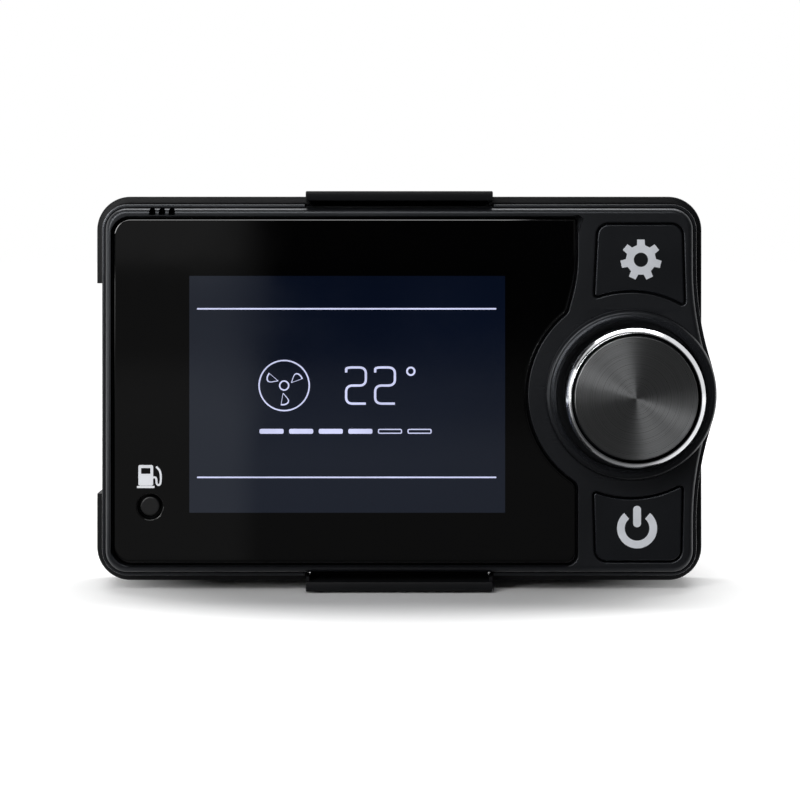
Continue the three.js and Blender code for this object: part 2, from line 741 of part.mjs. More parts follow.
function frontHousing() {
  const lip = face - LIP_BELOW_FACE;
  const roundStart = lip + LIP_STEP;
  const rounding = Array.from({ length: 5 }, (_, i) => {
    const angle = (i / 4) * QUARTER;
    return {
      depth: roundStart + (face - roundStart) * Math.sin(angle),
      points: flaredOutline(LIP_INSET + EDGE_ROUND * (1 - Math.cos(angle))),
    };
  });
  const flareBack = CRADLE_RIM + FLARE_ABOVE_RIM;
  const plain = slab(panelOutline(0), housingBack, flareBack + 1);
  const flared = loft([
    { depth: flareBack, points: flaredOutline(0.4 - LIP_OVER_RIM) },
    { depth: flareBack + 0.4, points: flaredOutline(-LIP_OVER_RIM) },
    { depth: lip, points: flaredOutline(-LIP_OVER_RIM) },
    { depth: lip, points: flaredOutline(LIP_INSET - LIP_GROOVE) },
    { depth: lip - LIP_GROOVE, points: flaredOutline(LIP_INSET - LIP_GROOVE / 2) },
    ...rounding,
  ]);
  const hollow = slab(panelOutline(WALL), housingBack - 1, deckBack);
  const wellWall = rod(WELL_R + WELL_FLOOR, deckBack - 1, face, knobX, KNOB_Z, 48);
  const underKeys = cut(
    slab(panelOutline(1.1), deckBack - 0.5, face - FACE_THICK),
    slab(lensOutline(-1.2), deckBack - 1, face),
    wellWall,
  );
  const recess = loft([
    { depth: deckFront, points: lensOutline(0) },
    { depth: face - RECESS_CHAMFER, points: lensOutline(0) },
    { depth: face + 0.01, points: lensOutline(-RECESS_CHAMFER) },
  ]);
  const window = block(
    activeX - cellHalfWidth - SEAT,
    activeX + cellHalfWidth + SEAT,
    deckBack - 1,
    deckFront + 1,
    activeZ - cellHalfHeight - SEAT,
    activeZ + cellHalfHeight + SEAT,
  );
  const keyHoles = [gearKeyOutline, powerKeyOutline].map((shape) =>
    loft([
      { depth: face - FACE_THICK - 1, points: shape(-KEY_GROOVE) },
      { depth: face - KEY_CHAMFER, points: shape(-KEY_GROOVE) },
      { depth: face + 0.01, points: shape(-KEY_GROOVE - KEY_CHAMFER) },
    ]),
  );
  const well = rod(WELL_R, wellFloor, face + COLLAR_RISE + 1, knobX, KNOB_Z, 48);
  const neckHole = rod(NECK_R + SEAT, wellBack - 1, wellFloor + 1, knobX, KNOB_Z);
  const primeHole = rod(PRIME_HOLE_R, deckBack - 1, face, primeX, primeZ);
  const vents = Array.from({ length: VENT_COUNT }, (_, i) => vent(i));
  const reliefHalf = ARM_WIDTH / 2 + SEAT;
  const reliefs = [-1, 1].map((end) => {
    const low = end > 0 ? halfHeight - LIP_INSET : -halfHeight - 1;
    return block(-reliefHalf, reliefHalf, flareBack, face + 1, low, low + 1 + LIP_INSET);
  });
  const pocketHalf = HOOK_WIDTH / 2 + POCKET_CLEAR;
  const pocketFront = hookBack + HOOK_DEPTH + POCKET_CLEAR;
  const pocketFloor = halfHeight - HOOK_REACH - SEAT;
  const pockets = [-1, 1].map((end) => {
    const low = end > 0 ? pocketFloor : -halfHeight - 1;
    const high = end > 0 ? halfHeight + 1 : -pocketFloor;
    return block(-pocketHalf, pocketHalf, hookBack - POCKET_CLEAR, pocketFront, low, high);
  });
  const bosses = caseScrewPlaces.map(([x, z]) => rod(CASE_BOSS_R, housingBack, deckBack + 0.3, x, z, 20));
  const posts = boardScrewPlaces.map(([x, z]) => rod(BOARD_POST_R, partOnBoard, deckBack + 0.3, x, z, 16));
  const pilots = [
    ...caseScrewPlaces.map(([x, z]) => rod(CASE_SCREW_R + SEAT, housingBack - 1, deckBack - 0.8, x, z, 12)),
    ...boardScrewPlaces.map(([x, z]) => rod(BOARD_SCREW_R + SEAT, 0, deckBack - 0.8, x, z, 12)),
  ];
  const ledge = cut(
    scoopBlock(housingBack, housingBack + SCOOP_LEDGE, WALL),
    block(-halfWidth - 2, -halfWidth, 0, face, -scoopHalf - 3, scoopHalf + 3),
  );
  const blank = cut(joined([plain, flared]), hollow, underKeys, recess, pryNotch(), keyHoles);
  const built = joined([blank, collar(), ledge, ...bosses, ...posts]);
  return cut(built, well, neckHole, window, primeHole, vents, reliefs, pockets, pilots);
}

// ---- Lens and display ----

function lensGlass() {
  const chamfer = 0.35;
  const glass = loft([
    { depth: lensBack, points: lensOutline(SEAT) },
    { depth: lensFront - chamfer, points: lensOutline(SEAT) },
    { depth: lensFront, points: lensOutline(SEAT + chamfer) },
  ]);
  const hole = turned(
    [[0, lensBack - 1], [PRIME_HOLE_R, lensBack - 1], [PRIME_HOLE_R, lensFront - 0.3],
      [PRIME_HOLE_R + 0.31, lensFront + 0.01], [0, lensFront + 0.01]],
    primeX,
    primeZ,
    32,
  );
  return cut(glass, hole);
}

function lensTape() {
  return slab(lensOutline(SEAT + 0.3), tapeBack, tapeBack + TAPE_THICK, lensOutline(SEAT + 1.4));
}

function displayCell() {
  const lower = block(
    activeX - cellHalfWidth,
    activeX + cellHalfWidth,
    cellBack,
    cellBack + CELL_THICK / 2,
    activeZ - cellHalfHeight,
    activeZ + cellHalfHeight,
  );
  const upper = block(
    activeX - cellHalfWidth,
    activeX + cellHalfWidth - 1,
    cellBack + CELL_THICK / 2,
    cellFront,
    activeZ - cellHalfHeight,
    activeZ + cellHalfHeight,
  );
  return lower.add(upper);
}

// A flanged tray behind the cell, with a window bed in its front.
function backlightFrame() {
  const left = activeX - cellHalfWidth;
  const right = activeX + cellHalfWidth - 2.4;
  const low = activeZ - cellHalfHeight;
  const high = activeZ + cellHalfHeight;
  const more = FRAME_MARGIN;
  const tray = block(left, right, frameBack, frameFront, low, high);
  const flange = block(left - more, right, frameFront - 0.8, frameFront, low - more, high + more);
  const bed = block(left + 1, right - 1, frameFront - 0.4, frameFront + 1, low + 1, high - 1);
  return cut(tray.add(flange), bed);
}

function displayPad() {
  return block(
    pictureLeft + PAD_IN_LEFT,
    pictureRight - PAD_IN_RIGHT,
    partOnBoard,
    frameBack - SEAT,
    activeZ - ACTIVE_HEIGHT / 2 + PAD_IN_Z,
    activeZ + ACTIVE_HEIGHT / 2 - PAD_IN_Z,
  );
}

const flexX = activeX + cellHalfWidth + FLEX_PAST_CELL;
const flexEnd = partOnBoard + FLEX_ABOVE_BOARD;

// A flat strip from under the cell's right edge, bent down to its connector.
function displayFlex() {
  const front = cellBack - SEAT;
  const outer = [];
  const inner = [];
  for (let i = 0; i <= 6; i += 1) {
    const angle = (i / 6) * QUARTER;
    const centreX = flexX - FLEX_BEND;
    const centreDepth = front - FLEX_BEND;
    outer.push([centreX + FLEX_BEND * Math.sin(angle), centreDepth + FLEX_BEND * Math.cos(angle)]);
    const less = FLEX_BEND - FLEX_THICK;
    inner.unshift([centreX + less * Math.sin(angle), centreDepth + less * Math.cos(angle)]);
  }
  const start = activeX + cellHalfWidth - FLEX_LAP;
  const path = [
    [start, front],
    ...outer,
    [flexX, flexEnd],
    [flexX - FLEX_THICK, flexEnd],
    ...inner,
    [start, front - FLEX_THICK],
  ];
  const shape = new THREE.Shape(path.map(([x, depth]) => new THREE.Vector2(x, -depth)));
  const geometry = new THREE.ExtrudeGeometry(shape, { depth: FLEX_WIDTH, bevelEnabled: false });
  geometry.translate(0, 0, activeZ - FLEX_WIDTH / 2);
  return solidOf(geometry);
}

function flexConnector() {
  const half = FLEX_WIDTH / 2 + FLEX_SOCKET_END;
  const top = flexEnd + 1;
  const body = block(
    flexX - FLEX_SOCKET_LEFT,
    flexX + FLEX_SOCKET_RIGHT,
    partOnBoard,
    top,
    activeZ - half,
    activeZ + half,
  );
  const mouth = block(
    flexX - FLEX_THICK - SEAT,
    flexX + SEAT,
    flexEnd - SEAT,
    top + 1,
    activeZ - FLEX_WIDTH / 2 - SEAT,
    activeZ + FLEX_WIDTH / 2 + SEAT,
  );
  return cut(body, mouth);
}

// ---- Board and what it carries ----

function mainBoard() {
  const board = slab(rectangle(-boardEdgeX, boardEdgeX, -boardEdgeZ, boardEdgeZ, 1.5), boardBack, boardFront);
  const corners = caseScrewPlaces.map(([x, z]) => {
    const side = Math.sign(x);
    const end = Math.sign(z);
    const innerX = x - side * (CASE_BOSS_R + CASE_BOSS_CLEAR);
    const innerZ = z - end * (CASE_BOSS_R + CASE_BOSS_CLEAR);
    const outerX = side * halfWidth;
    const outerZ = end * halfHeight;
    return block(
      Math.min(innerX, outerX),
      Math.max(innerX, outerX),
      boardBack - 1,
      boardFront + 1,
      Math.min(innerZ, outerZ),
      Math.max(innerZ, outerZ),
    );
  });
  const holes = boardScrewPlaces.map(([x, z]) => rod(BOARD_SCREW_R + SEAT, boardBack - 1, boardFront + 1, x, z, 12));
  const besideScoop = scoopBlock(boardBack - 1, boardFront + 1, WALL + SEAT);
  return cut(board, corners, besideScoop, holes);
}

// One side of a comb of leads round a square, along its near edge, from the left corner.
function leadSide(half, reach) {
  const points = [];
  for (let i = 0; i < CHIP_LEADS; i += 1) {
    const middle = (i - (CHIP_LEADS - 1) / 2) * CHIP_PITCH;
    const left = middle - CHIP_PITCH / 4;
    const right = middle + CHIP_PITCH / 4;
    points.push([left, -half], [left, -reach], [right, -reach], [right, -half]);
  }
  return points;
}

// A chip with leads on its four sides, on the back of the board.
function controllerChip() {
  const half = (CHIP_LEADS * CHIP_PITCH) / 2 + 0.4;
  const top = boardBack - SEAT;
  const comb = [0, 1, 2, 3].flatMap((turn) =>
    leadSide(half, half + 1.2).map(([along, out]) => {
      const point = new THREE.Vector2(along, out).rotateAround(new THREE.Vector2(), turn * QUARTER);
      return new THREE.Vector2(CHIP_X + point.x, CHIP_Z + point.y);
    }),
  );
  const leads = slab(comb, top - 0.5, top);
  const body = block(CHIP_X - half, CHIP_X + half, top - CHIP_THICK, top - 0.2, CHIP_Z - half, CHIP_Z + half);
  return body.add(leads);
}

function roomSensor() {
  const x = -halfWidth + VENT_FROM_LEFT + VENT_PITCH;
  const z = boardEdgeZ - 2.4;
  const bead = turned(
    [[0, partOnBoard + 1.6], [0.8, partOnBoard + 1.9], [1.1, partOnBoard + 2.7],
      [0.8, partOnBoard + 3.5], [0, partOnBoard + 3.8]],
    x,
    z,
    12,
  );
  const legs = [-0.5, 0.5].map((side) => rod(0.25, partOnBoard, partOnBoard + 2.4, x + side, z, 8));
  return joined([bead, ...legs]);
}

// A shrouded header on the back of the board, open to the rear.
function rearConnector() {
  const front = boardBack - SEAT;
  const back = shellBack;
  const half = SOCKET_WIDTH / 2;
  const tall = SOCKET_HEIGHT / 2;
  const body = block(-half, half, back, front, socketZ - tall, socketZ + tall);
  const mouth = block(
    -half + SOCKET_WALL,
    half - SOCKET_WALL,
    back - 1,
    front - SOCKET_FLOOR,
    socketZ - tall + SOCKET_WALL,
    socketZ + tall - SOCKET_WALL,
  );
  const slots = Array.from({ length: PIN_COUNT }, (_, i) => {
    const x = pinX(i);
    const slot = PIN_SIZE / 2 + RUN;
    return block(x - slot, x + slot, front - 2, front + 1, socketZ - slot, socketZ + slot);
  });
  return cut(body, mouth, slots);
}

function pinX(index) {
  return (index - (PIN_COUNT - 1) / 2) * PIN_PITCH;
}

// One contact, through the header's floor into the socket.
function connectorPin(index) {
  const x = pinX(index);
  const half = PIN_SIZE / 2;
  const front = boardBack - SEAT;
  const tip = front - SOCKET_FLOOR - PIN_LENGTH;
  return block(x - half, x + half, tip, front, socketZ - half, socketZ + half);
}

// ---- Keys and their switches ----

function key(shape, x, z) {
  const back = face - KEY_THICK;
  const flangeFront = face - FACE_THICK - SEAT;
  const cap = loft([
    { depth: back - 0.5, points: shape(0) },
    { depth: face - KEY_CHAMFER, points: shape(0) },
    { depth: face, points: shape(KEY_CHAMFER) },
  ]);
  const flange = slab(shape(-KEY_FLANGE), flangeFront - KEY_FLANGE_THICK, flangeFront);
  const stemBack = partOnBoard + SWITCH_THICK + SWITCH_PLUNGER_RISE + SEAT;
  const stem = [
    block(x - 2, x + 2, stemBack, flangeFront, z - 0.6, z + 0.6),
    block(x - 0.6, x + 0.6, stemBack, flangeFront, z - 2, z + 2),
  ];
  return joined([cap, flange, ...stem]);
}

function switchCase(size, thick, plungerR, x, z) {
  const half = size / 2;
  const body = block(x - half, x + half, partOnBoard, partOnBoard + thick - 0.6, z - half, z + half);
  const top = turned(
    [[0, partOnBoard], [plungerR + 0.9, partOnBoard], [plungerR + 0.9, partOnBoard + thick],
      [0, partOnBoard + thick]],
    x,
    z,
  );
  const bore = rod(plungerR + RUN, partOnBoard + thick - 2, partOnBoard + thick + 1, x, z);
  return cut(body.add(top), bore);
}

function switchPlunger(thick, plungerR, x, z) {
  return turned(
    [[0, partOnBoard + thick - 1.2], [plungerR, partOnBoard + thick - 1.2],
      [plungerR, partOnBoard + thick + SWITCH_PLUNGER_RISE - 0.2],
      [plungerR - 0.2, partOnBoard + thick + SWITCH_PLUNGER_RISE],
      [0, partOnBoard + thick + SWITCH_PLUNGER_RISE]],
    x,
    z,
  );
}

// A small round button through the lens, kept behind the deck by a flange.
function primeButton() {
  const back = partOnBoard + SWITCH_THICK - 0.4 + SWITCH_PLUNGER_RISE + SEAT;
  const front = lensFront - PRIME_BELOW_LENS;
  return turned(
    [[0, back], [1.2, back], [1.2, deckBack - SEAT - 0.6], [PRIME_CAP_R + 1, deckBack - SEAT - 0.6],
      [PRIME_CAP_R + 1, deckBack - SEAT], [PRIME_CAP_R, deckBack - SEAT], [PRIME_CAP_R, front - 0.25],
      [PRIME_CAP_R - 0.25, front], [0, front]],
    primeX,
    primeZ,
    20,
  );
}

// ---- Encoder ----

const pitFloor = partOnBoard + 0.4;
const plungerBack = pitFloor + KNOB_PUSH + 0.15;
const plungerFront = plungerBack + 0.4;
const shaftBack = plungerFront + SEAT;
const rotorBack = shaftBack + 0.2;
const rotorFront = rotorBack + ROTOR_THICK;
const shaftFlange = rotorFront + KNOB_PUSH + SEAT;
const baseFront = partOnBoard + ENCODER_BASE;
const caseBack = Math.max(baseFront, shaftFlange + 0.4) + SEAT;
const neckFront = wellFloor + 0.6;
const hubBack = neckFront + KNOB_PUSH + 0.35;
const knobTop = face + KNOB_TOP;
const capBack = knobTop - CAP_THICK;
const shaftFront = capBack - 2;
const springInner = ROTOR_R + TOOTH_DEPTH / 2 + 0.55;

// The shaft's section where it is flatted, and any hole that fits it.
function flatted(radius, flat) {
  const edge = Math.acos(flat / radius);
  const steps = 20;
  return Array.from({ length: steps + 1 }, (_, i) => {
    const angle = QUARTER + edge + (i / steps) * (4 * QUARTER - 2 * edge);
    return new THREE.Vector2(knobX + radius * Math.cos(angle), KNOB_Z + radius * Math.sin(angle));
  });
}

// A bar laid across the detent's direction, at a distance from the knob axis.
function acrossDetent(inner, outer, half) {
  return [[inner, -half], [outer, -half], [outer, half], [inner, half]].map(([out, side]) => {
    const x = out * Math.cos(DETENT_ANGLE) - side * Math.sin(DETENT_ANGLE);
    const z = out * Math.sin(DETENT_ANGLE) + side * Math.cos(DETENT_ANGLE);
    return new THREE.Vector2(knobX + x, KNOB_Z + z);
  });
}

function encoderBase() {
  const half = ENCODER_SIZE / 2;
  const body = block(knobX - half, knobX + half, partOnBoard, baseFront, KNOB_Z - half, KNOB_Z + half);
  const pit = rod(SHAFT_R + 0.5 + SEAT, pitFloor, baseFront, knobX, KNOB_Z, 32);
  const chamber = rod(ROTOR_R + TOOTH_DEPTH / 2 + SEAT, rotorBack - SEAT, baseFront + 1, knobX, KNOB_Z, 48);
  const pocket = slab(
    acrossDetent(springInner - 0.9, springInner + 0.3 + SEAT, 3 + SEAT),
    rotorBack - SEAT,
    baseFront + 1,
  );
  return cut(body, pit, chamber, pocket);
}

// A toothed disc on the flatted part of the shaft. A valley faces the spring at rest.
function encoderRotor() {
  const steps = ROTOR_TEETH * 4;
  const points = Array.from({ length: steps }, (_, i) => {
    const angle = (i / steps) * 4 * QUARTER;
    const wave = Math.cos(ROTOR_TEETH * (angle - DETENT_ANGLE));
    const radius = ROTOR_R - (TOOTH_DEPTH / 2) * wave;
    return new THREE.Vector2(knobX + radius * Math.cos(angle), KNOB_Z + radius * Math.sin(angle));
  });
  return slab(points, rotorBack, rotorFront, flatted(SHAFT_R + RUN, SHAFT_FLAT + RUN));
}

// A leaf across the rotor's edge, with a nose that points into the nearest valley.
function detentSpring() {
  const valley = ROTOR_R - TOOTH_DEPTH / 2;
  const leaf = slab(acrossDetent(springInner, springInner + 0.3, 3), rotorBack, rotorFront);
  const noseR = springInner + 0.1 - (valley + SEAT);
  const nose = rod(
    noseR,
    rotorBack,
    rotorFront,
    knobX + (springInner + 0.1) * Math.cos(DETENT_ANGLE),
    KNOB_Z + (springInner + 0.1) * Math.sin(DETENT_ANGLE),
    16,
  );
  return leaf.add(cut(nose, slab(acrossDetent(springInner + 0.2, springInner + 3, 3), rotorBack - 1, rotorFront + 1)));
}

function encoderPlunger() {
  return rod(SHAFT_R + 0.5, plungerBack, plungerFront, knobX, KNOB_Z);
}

// A plate over the base with two legs down its sides, and the neck that guides the shaft.
function encoderCase() {
  const half = ENCODER_SIZE / 2;
  const leg = ENCODER_CASE_THICK;
  const reach = half + SEAT + leg;
  const front = caseBack + leg;
  const plate = block(knobX - reach, knobX + reach, caseBack, front, KNOB_Z - half, KNOB_Z + half);
  const legs = [-1, 1].map((side) => {
    const near = knobX + side * (half + SEAT);
    const far = near + side * leg;
    return block(Math.min(near, far), Math.max(near, far), partOnBoard, front, KNOB_Z - 4, KNOB_Z + 4);
  });
  const neck = rod(NECK_R, caseBack, neckFront, knobX, KNOB_Z);
  const bore = rod(SHAFT_R + RUN, caseBack - 1, neckFront + 1, knobX, KNOB_Z);
  return cut(joined([plate, ...legs, neck]), bore);
}

// Flatted through the rotor, round through the neck with a stop flange below it, and flatted in the knob.
function encoderShaft() {
  const low = slab(flatted(SHAFT_R, SHAFT_FLAT), shaftBack, shaftFlange + 0.1);
  const round = turned(
    [[0, shaftFlange], [SHAFT_R + 0.7, shaftFlange], [SHAFT_R + 0.7, shaftFlange + 0.4],
      [SHAFT_R, shaftFlange + 0.4], [SHAFT_R, neckFront], [0, neckFront]],
    knobX,
    KNOB_Z,
  );
  const high = slab(flatted(SHAFT_R, SHAFT_FLAT), neckFront - 0.1, shaftFront);
  return joined([low, round, high]);
}

// ---- Knob ----

const ringInside = KNOB_R - BEVEL_WIDTH;
const coreR = ringInside - SEAT;
const capR = ringInside - CAP_GROOVE;
const coreFront = capBack - SEAT;
const skirtBack = wellFloor + KNOB_PUSH + 0.5;

// A cup with a flatted hub and webs between hub and wall.
function knobCore() {
  const roof = coreFront - 1.4;
  const cup = turned(
    [[0, roof], [coreR - 1.4, roof], [coreR - 1.4, skirtBack], [coreR, skirtBack], [coreR, coreFront], [0, coreFront]],
    knobX,
    KNOB_Z,
    48,
  );
  const hub = rod(SHAFT_R + 2, hubBack, roof + 0.1, knobX, KNOB_Z);
  const webs = Array.from({ length: 3 }, (_, i) => {
    const geometry = new THREE.BoxGeometry(2 * coreR - 1.6, roof - hubBack - 1, 1);
    geometry.rotateY((i / 3) * 2 * QUARTER);
    geometry.translate(knobX, -(roof + hubBack + 1) / 2 - 0.05, KNOB_Z);
    return solidOf(geometry);
  });
  const bore = slab(flatted(SHAFT_R + RUN, SHAFT_FLAT + RUN), hubBack - 2, shaftFront + SEAT);
  return cut(joined([cup, hub, ...webs]), bore);
}

// The plated ring: an outer wall with a bevel at its front.
function knobRing() {
  const inner = ringInside;
  const bevelFront = knobTop - 0.2;
  return turned(
    [[inner, skirtBack], [KNOB_R - 0.3, skirtBack], [KNOB_R, skirtBack + 0.3],
      [KNOB_R, bevelFront - BEVEL_DROP - 0.12], [KNOB_R - 0.06, bevelFront - BEVEL_DROP],
      [inner + 0.12, bevelFront], [inner, bevelFront - 0.08], [inner, skirtBack]],
    knobX,
    KNOB_Z,
    60,
  );
}

function knobCap() {
  return turned(
    [[0, capBack], [capR, capBack], [capR, knobTop - 0.15], [capR - 0.15, knobTop], [0, knobTop]],
    knobX,
    KNOB_Z,
    60,
  );
}

// ---- Screws ----

function caseScrew(x, z) {
  const back = shellBack + SEAT;
  const under = back + CASE_HEAD_THICK;
  const tip = deckBack - 1.4;
  const drive = block(x - 1.2, x + 1.2, back - 1, back + 0.7, z - 0.3, z + 0.3);
  const cross = block(x - 0.3, x + 0.3, back - 1, back + 0.7, z - 1.2, z + 1.2);
  const screw = turned(
    [[0, back], [CASE_HEAD_R - 0.3, back], [CASE_HEAD_R, back + 0.4], [CASE_HEAD_R, under],
      [CASE_SCREW_R, under], [CASE_SCREW_R, tip - 1], [0.3, tip], [0, tip]],
    x,
    z,
    12,
  );
  return cut(screw, drive, cross);
}

function boardScrew(x, z) {
  const under = boardBack - SEAT;
  const back = under - BOARD_HEAD_THICK;
  const tip = deckBack - 1.4;
  return turned(
    [[0, back], [BOARD_HEAD_R - 0.3, back], [BOARD_HEAD_R, back + 0.3], [BOARD_HEAD_R, under],
      [BOARD_SCREW_R, under], [BOARD_SCREW_R, tip - 0.8], [0.2, tip], [0, tip]],
    x,
    z,
    10,
  );
}

// ---- The assembly ----

const finishes = {
  housingPlastic: { color: 0x17181a, roughness: 0.5, metalness: 0 },
  keyPlastic: { color: 0x121315, roughness: 0.45, metalness: 0 },
  glossBlack: { color: 0x050507, roughness: 0.08, metalness: 0 },
  display: { color: 0x0b1020, roughness: 0.3, metalness: 0 },
  whitePlastic: { color: 0xd8d8d2, roughness: 0.5, metalness: 0 },
  foam: { color: 0x202022, roughness: 0.95, metalness: 0 },
  board: { color: 0x0f4a2c, roughness: 0.5, metalness: 0 },
  amberFilm: { color: 0xa5661c, roughness: 0.4, metalness: 0 },
  steel: { color: 0x9a9da0, roughness: 0.35, metalness: 1 },
  zinc: { color: 0x8c8f92, roughness: 0.45, metalness: 1 },
  chrome: { color: 0xd6d8da, roughness: 0.06, metalness: 1 },
  spunAluminium: { color: 0x5a5c5e, roughness: 0.28, metalness: 1 },
};

const group = new THREE.Group();

function place(name, solid, finish) {
  const mesh = new THREE.Mesh(geometryOf(solid), new THREE.MeshStandardMaterial(finishes[finish]));
  mesh.name = name;
  group.add(mesh);
}

place("mounting_cradle", cradle(), "housingPlastic");
place("rear_shell", rearShell(), "housingPlastic");
place("front_housing", frontHousing(), "housingPlastic");
place("lens_glass", lensGlass(), "glossBlack");
place("lens_tape", lensTape(), "foam");
place("display_cell", displayCell(), "display");
place("backlight_frame", backlightFrame(), "whitePlastic");
place("display_pad", displayPad(), "foam");
place("display_flex", displayFlex(), "amberFilm");
place("flex_connector", flexConnector(), "whitePlastic");
place("main_board", mainBoard(), "board");
place("controller_chip", controllerChip(), "keyPlastic");
place("room_sensor", roomSensor(), "keyPlastic");
place("rear_connector", rearConnector(), "whitePlastic");

const keys = [
  ["settings", gearKeyOutline, keyCentreX, gearKeyZ],
  ["power", powerKeyOutline, keyCentreX, powerKeyZ],
];
for (const [name, shape, x, z] of keys) {
  place(`${name}_key`, key(shape, x, z), "keyPlastic");
  place(`${name}_switch_case`, switchCase(SWITCH_SIZE, SWITCH_THICK, SWITCH_PLUNGER_R, x, z), "steel");
  place(`${name}_switch_plunger`, switchPlunger(SWITCH_THICK, SWITCH_PLUNGER_R, x, z), "keyPlastic");
}

const smallThick = SWITCH_THICK - 0.4;
const smallPlungerR = SWITCH_PLUNGER_R - 0.5;
place("prime_button", primeButton(), "keyPlastic");
place(
  "prime_switch_case",
  switchCase(SMALL_SWITCH_SIZE, smallThick, smallPlungerR, primeX, primeZ),
  "steel",
);
place("prime_switch_plunger", switchPlunger(smallThick, smallPlungerR, primeX, primeZ), "keyPlastic");

place("encoder_base", encoderBase(), "keyPlastic");
place("encoder_push_plunger", encoderPlunger(), "whitePlastic");
place("encoder_rotor", encoderRotor(), "whitePlastic");
place("encoder_detent_spring", detentSpring(), "steel");
place("encoder_case", encoderCase(), "zinc");
place("encoder_shaft", encoderShaft(), "zinc");
place("knob_core", knobCore(), "keyPlastic");
place("knob_ring", knobRing(), "chrome");
place("knob_cap", knobCap(), "spunAluminium");

caseScrewPlaces.forEach(([x, z], i) => place(`case_screw_${i + 1}`, caseScrew(x, z), "steel"));
for (let i = 0; i < PIN_COUNT; i += 1) place(`connector_pin_${i + 1}`, connectorPin(i), "steel");
boardScrewPlaces.forEach(([x, z], i) => place(`board_screw_${i + 1}`, boardScrew(x, z), "steel"));

export default group;
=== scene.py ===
"""Control panel of a diesel air heater in its wall cradle: finishes, fine surfaces and the studio.

Shapes are written in millimetres from the wall plane: x to the right, z up, and a depth that grows
towards the viewer. They become metres, with y = -depth, when a mesh is made.
"""

import json

import bmesh
import bpy
import numpy as np
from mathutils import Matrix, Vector
from mathutils.geometry import tessellate_polygon

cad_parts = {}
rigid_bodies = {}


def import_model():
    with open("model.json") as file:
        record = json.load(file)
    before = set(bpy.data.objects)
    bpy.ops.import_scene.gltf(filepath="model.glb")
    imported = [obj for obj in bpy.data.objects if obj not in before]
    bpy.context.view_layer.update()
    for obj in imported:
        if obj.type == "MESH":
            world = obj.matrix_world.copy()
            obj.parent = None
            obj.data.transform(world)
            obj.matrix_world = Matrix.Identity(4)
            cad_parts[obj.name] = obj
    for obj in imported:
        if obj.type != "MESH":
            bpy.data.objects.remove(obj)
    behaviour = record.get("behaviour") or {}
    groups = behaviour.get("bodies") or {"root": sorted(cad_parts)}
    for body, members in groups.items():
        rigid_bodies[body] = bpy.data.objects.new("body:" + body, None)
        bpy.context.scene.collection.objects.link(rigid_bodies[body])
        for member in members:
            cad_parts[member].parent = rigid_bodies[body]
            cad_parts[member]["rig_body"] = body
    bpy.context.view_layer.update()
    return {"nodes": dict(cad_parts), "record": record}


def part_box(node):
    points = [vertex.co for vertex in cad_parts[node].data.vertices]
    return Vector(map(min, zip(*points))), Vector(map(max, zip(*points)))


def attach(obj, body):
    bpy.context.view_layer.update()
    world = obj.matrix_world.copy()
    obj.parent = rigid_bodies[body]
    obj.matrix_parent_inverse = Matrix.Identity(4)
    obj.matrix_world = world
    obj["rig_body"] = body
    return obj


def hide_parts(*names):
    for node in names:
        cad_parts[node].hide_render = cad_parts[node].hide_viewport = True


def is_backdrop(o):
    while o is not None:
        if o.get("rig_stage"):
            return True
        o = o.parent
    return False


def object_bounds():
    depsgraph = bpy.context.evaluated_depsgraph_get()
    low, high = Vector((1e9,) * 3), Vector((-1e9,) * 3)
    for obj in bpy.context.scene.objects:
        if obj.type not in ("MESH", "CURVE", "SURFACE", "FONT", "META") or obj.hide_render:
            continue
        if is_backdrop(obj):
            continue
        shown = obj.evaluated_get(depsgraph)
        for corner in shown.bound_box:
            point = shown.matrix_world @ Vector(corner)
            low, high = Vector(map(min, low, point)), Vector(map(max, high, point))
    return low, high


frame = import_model()
nodes = frame["nodes"]

MM = 0.001
QUARTER = np.pi / 2
HALF = np.pi

# ---- Sizes, in millimetres ----


def mm_box(node):
    """Lowest and highest corners of a CAD node as (x, depth, z) in millimetres."""
    low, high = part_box(node)
    return (
        np.array([low.x, -high.y, low.z]) / MM,
        np.array([high.x, -low.y, high.z]) / MM,
    )


housing_low, housing_high = mm_box("front_housing")
cap_low, cap_high = mm_box("knob_cap")
ring_low, ring_high = mm_box("knob_ring")
glass_low, glass_high = mm_box("lens_glass")
cell_low, cell_high = mm_box("display_cell")
prime_low, prime_high = mm_box("prime_button")
cradle_low, cradle_high = mm_box("mounting_cradle")

# Front housing
LIP_OVER = 0.25
LIP_IN = 0.45
COLLAR_RISE = 1.2
COLLAR_DROP = 0.5
HALF_WIDTH = -housing_low[0] - LIP_OVER
HALF_HEIGHT = housing_high[2] - LIP_OVER
FACE = housing_high[1] - COLLAR_RISE
HOUSING_BACK = 10.0
WALL = 1.8
DECK_BACK = 16.0
DECK_FRONT = 17.0
FACE_BACK = FACE - 2.2
LIP = FACE - 1.4
ROUND_FROM = LIP + 0.35
EDGE_ROUND = 1.05
PANEL_CORNER = 4.4
KNOB_X = (cap_low[0] + cap_high[0]) / 2
KNOB_Z = (cap_low[2] + cap_high[2]) / 2
KNOB_TOP = cap_high[1]
FLARE_HEIGHT = 3.55
FLARE_HALF = 23.1
FLARE_TIP_R = 20.0
FLARE_BACK = 15.2
WELL_R = 13.55
WELL_FLOOR = FACE - 2.6
NECK_HOLE = 3.8
COLLAR_FOOT = 15.6
COLLAR_CREST = 14.8
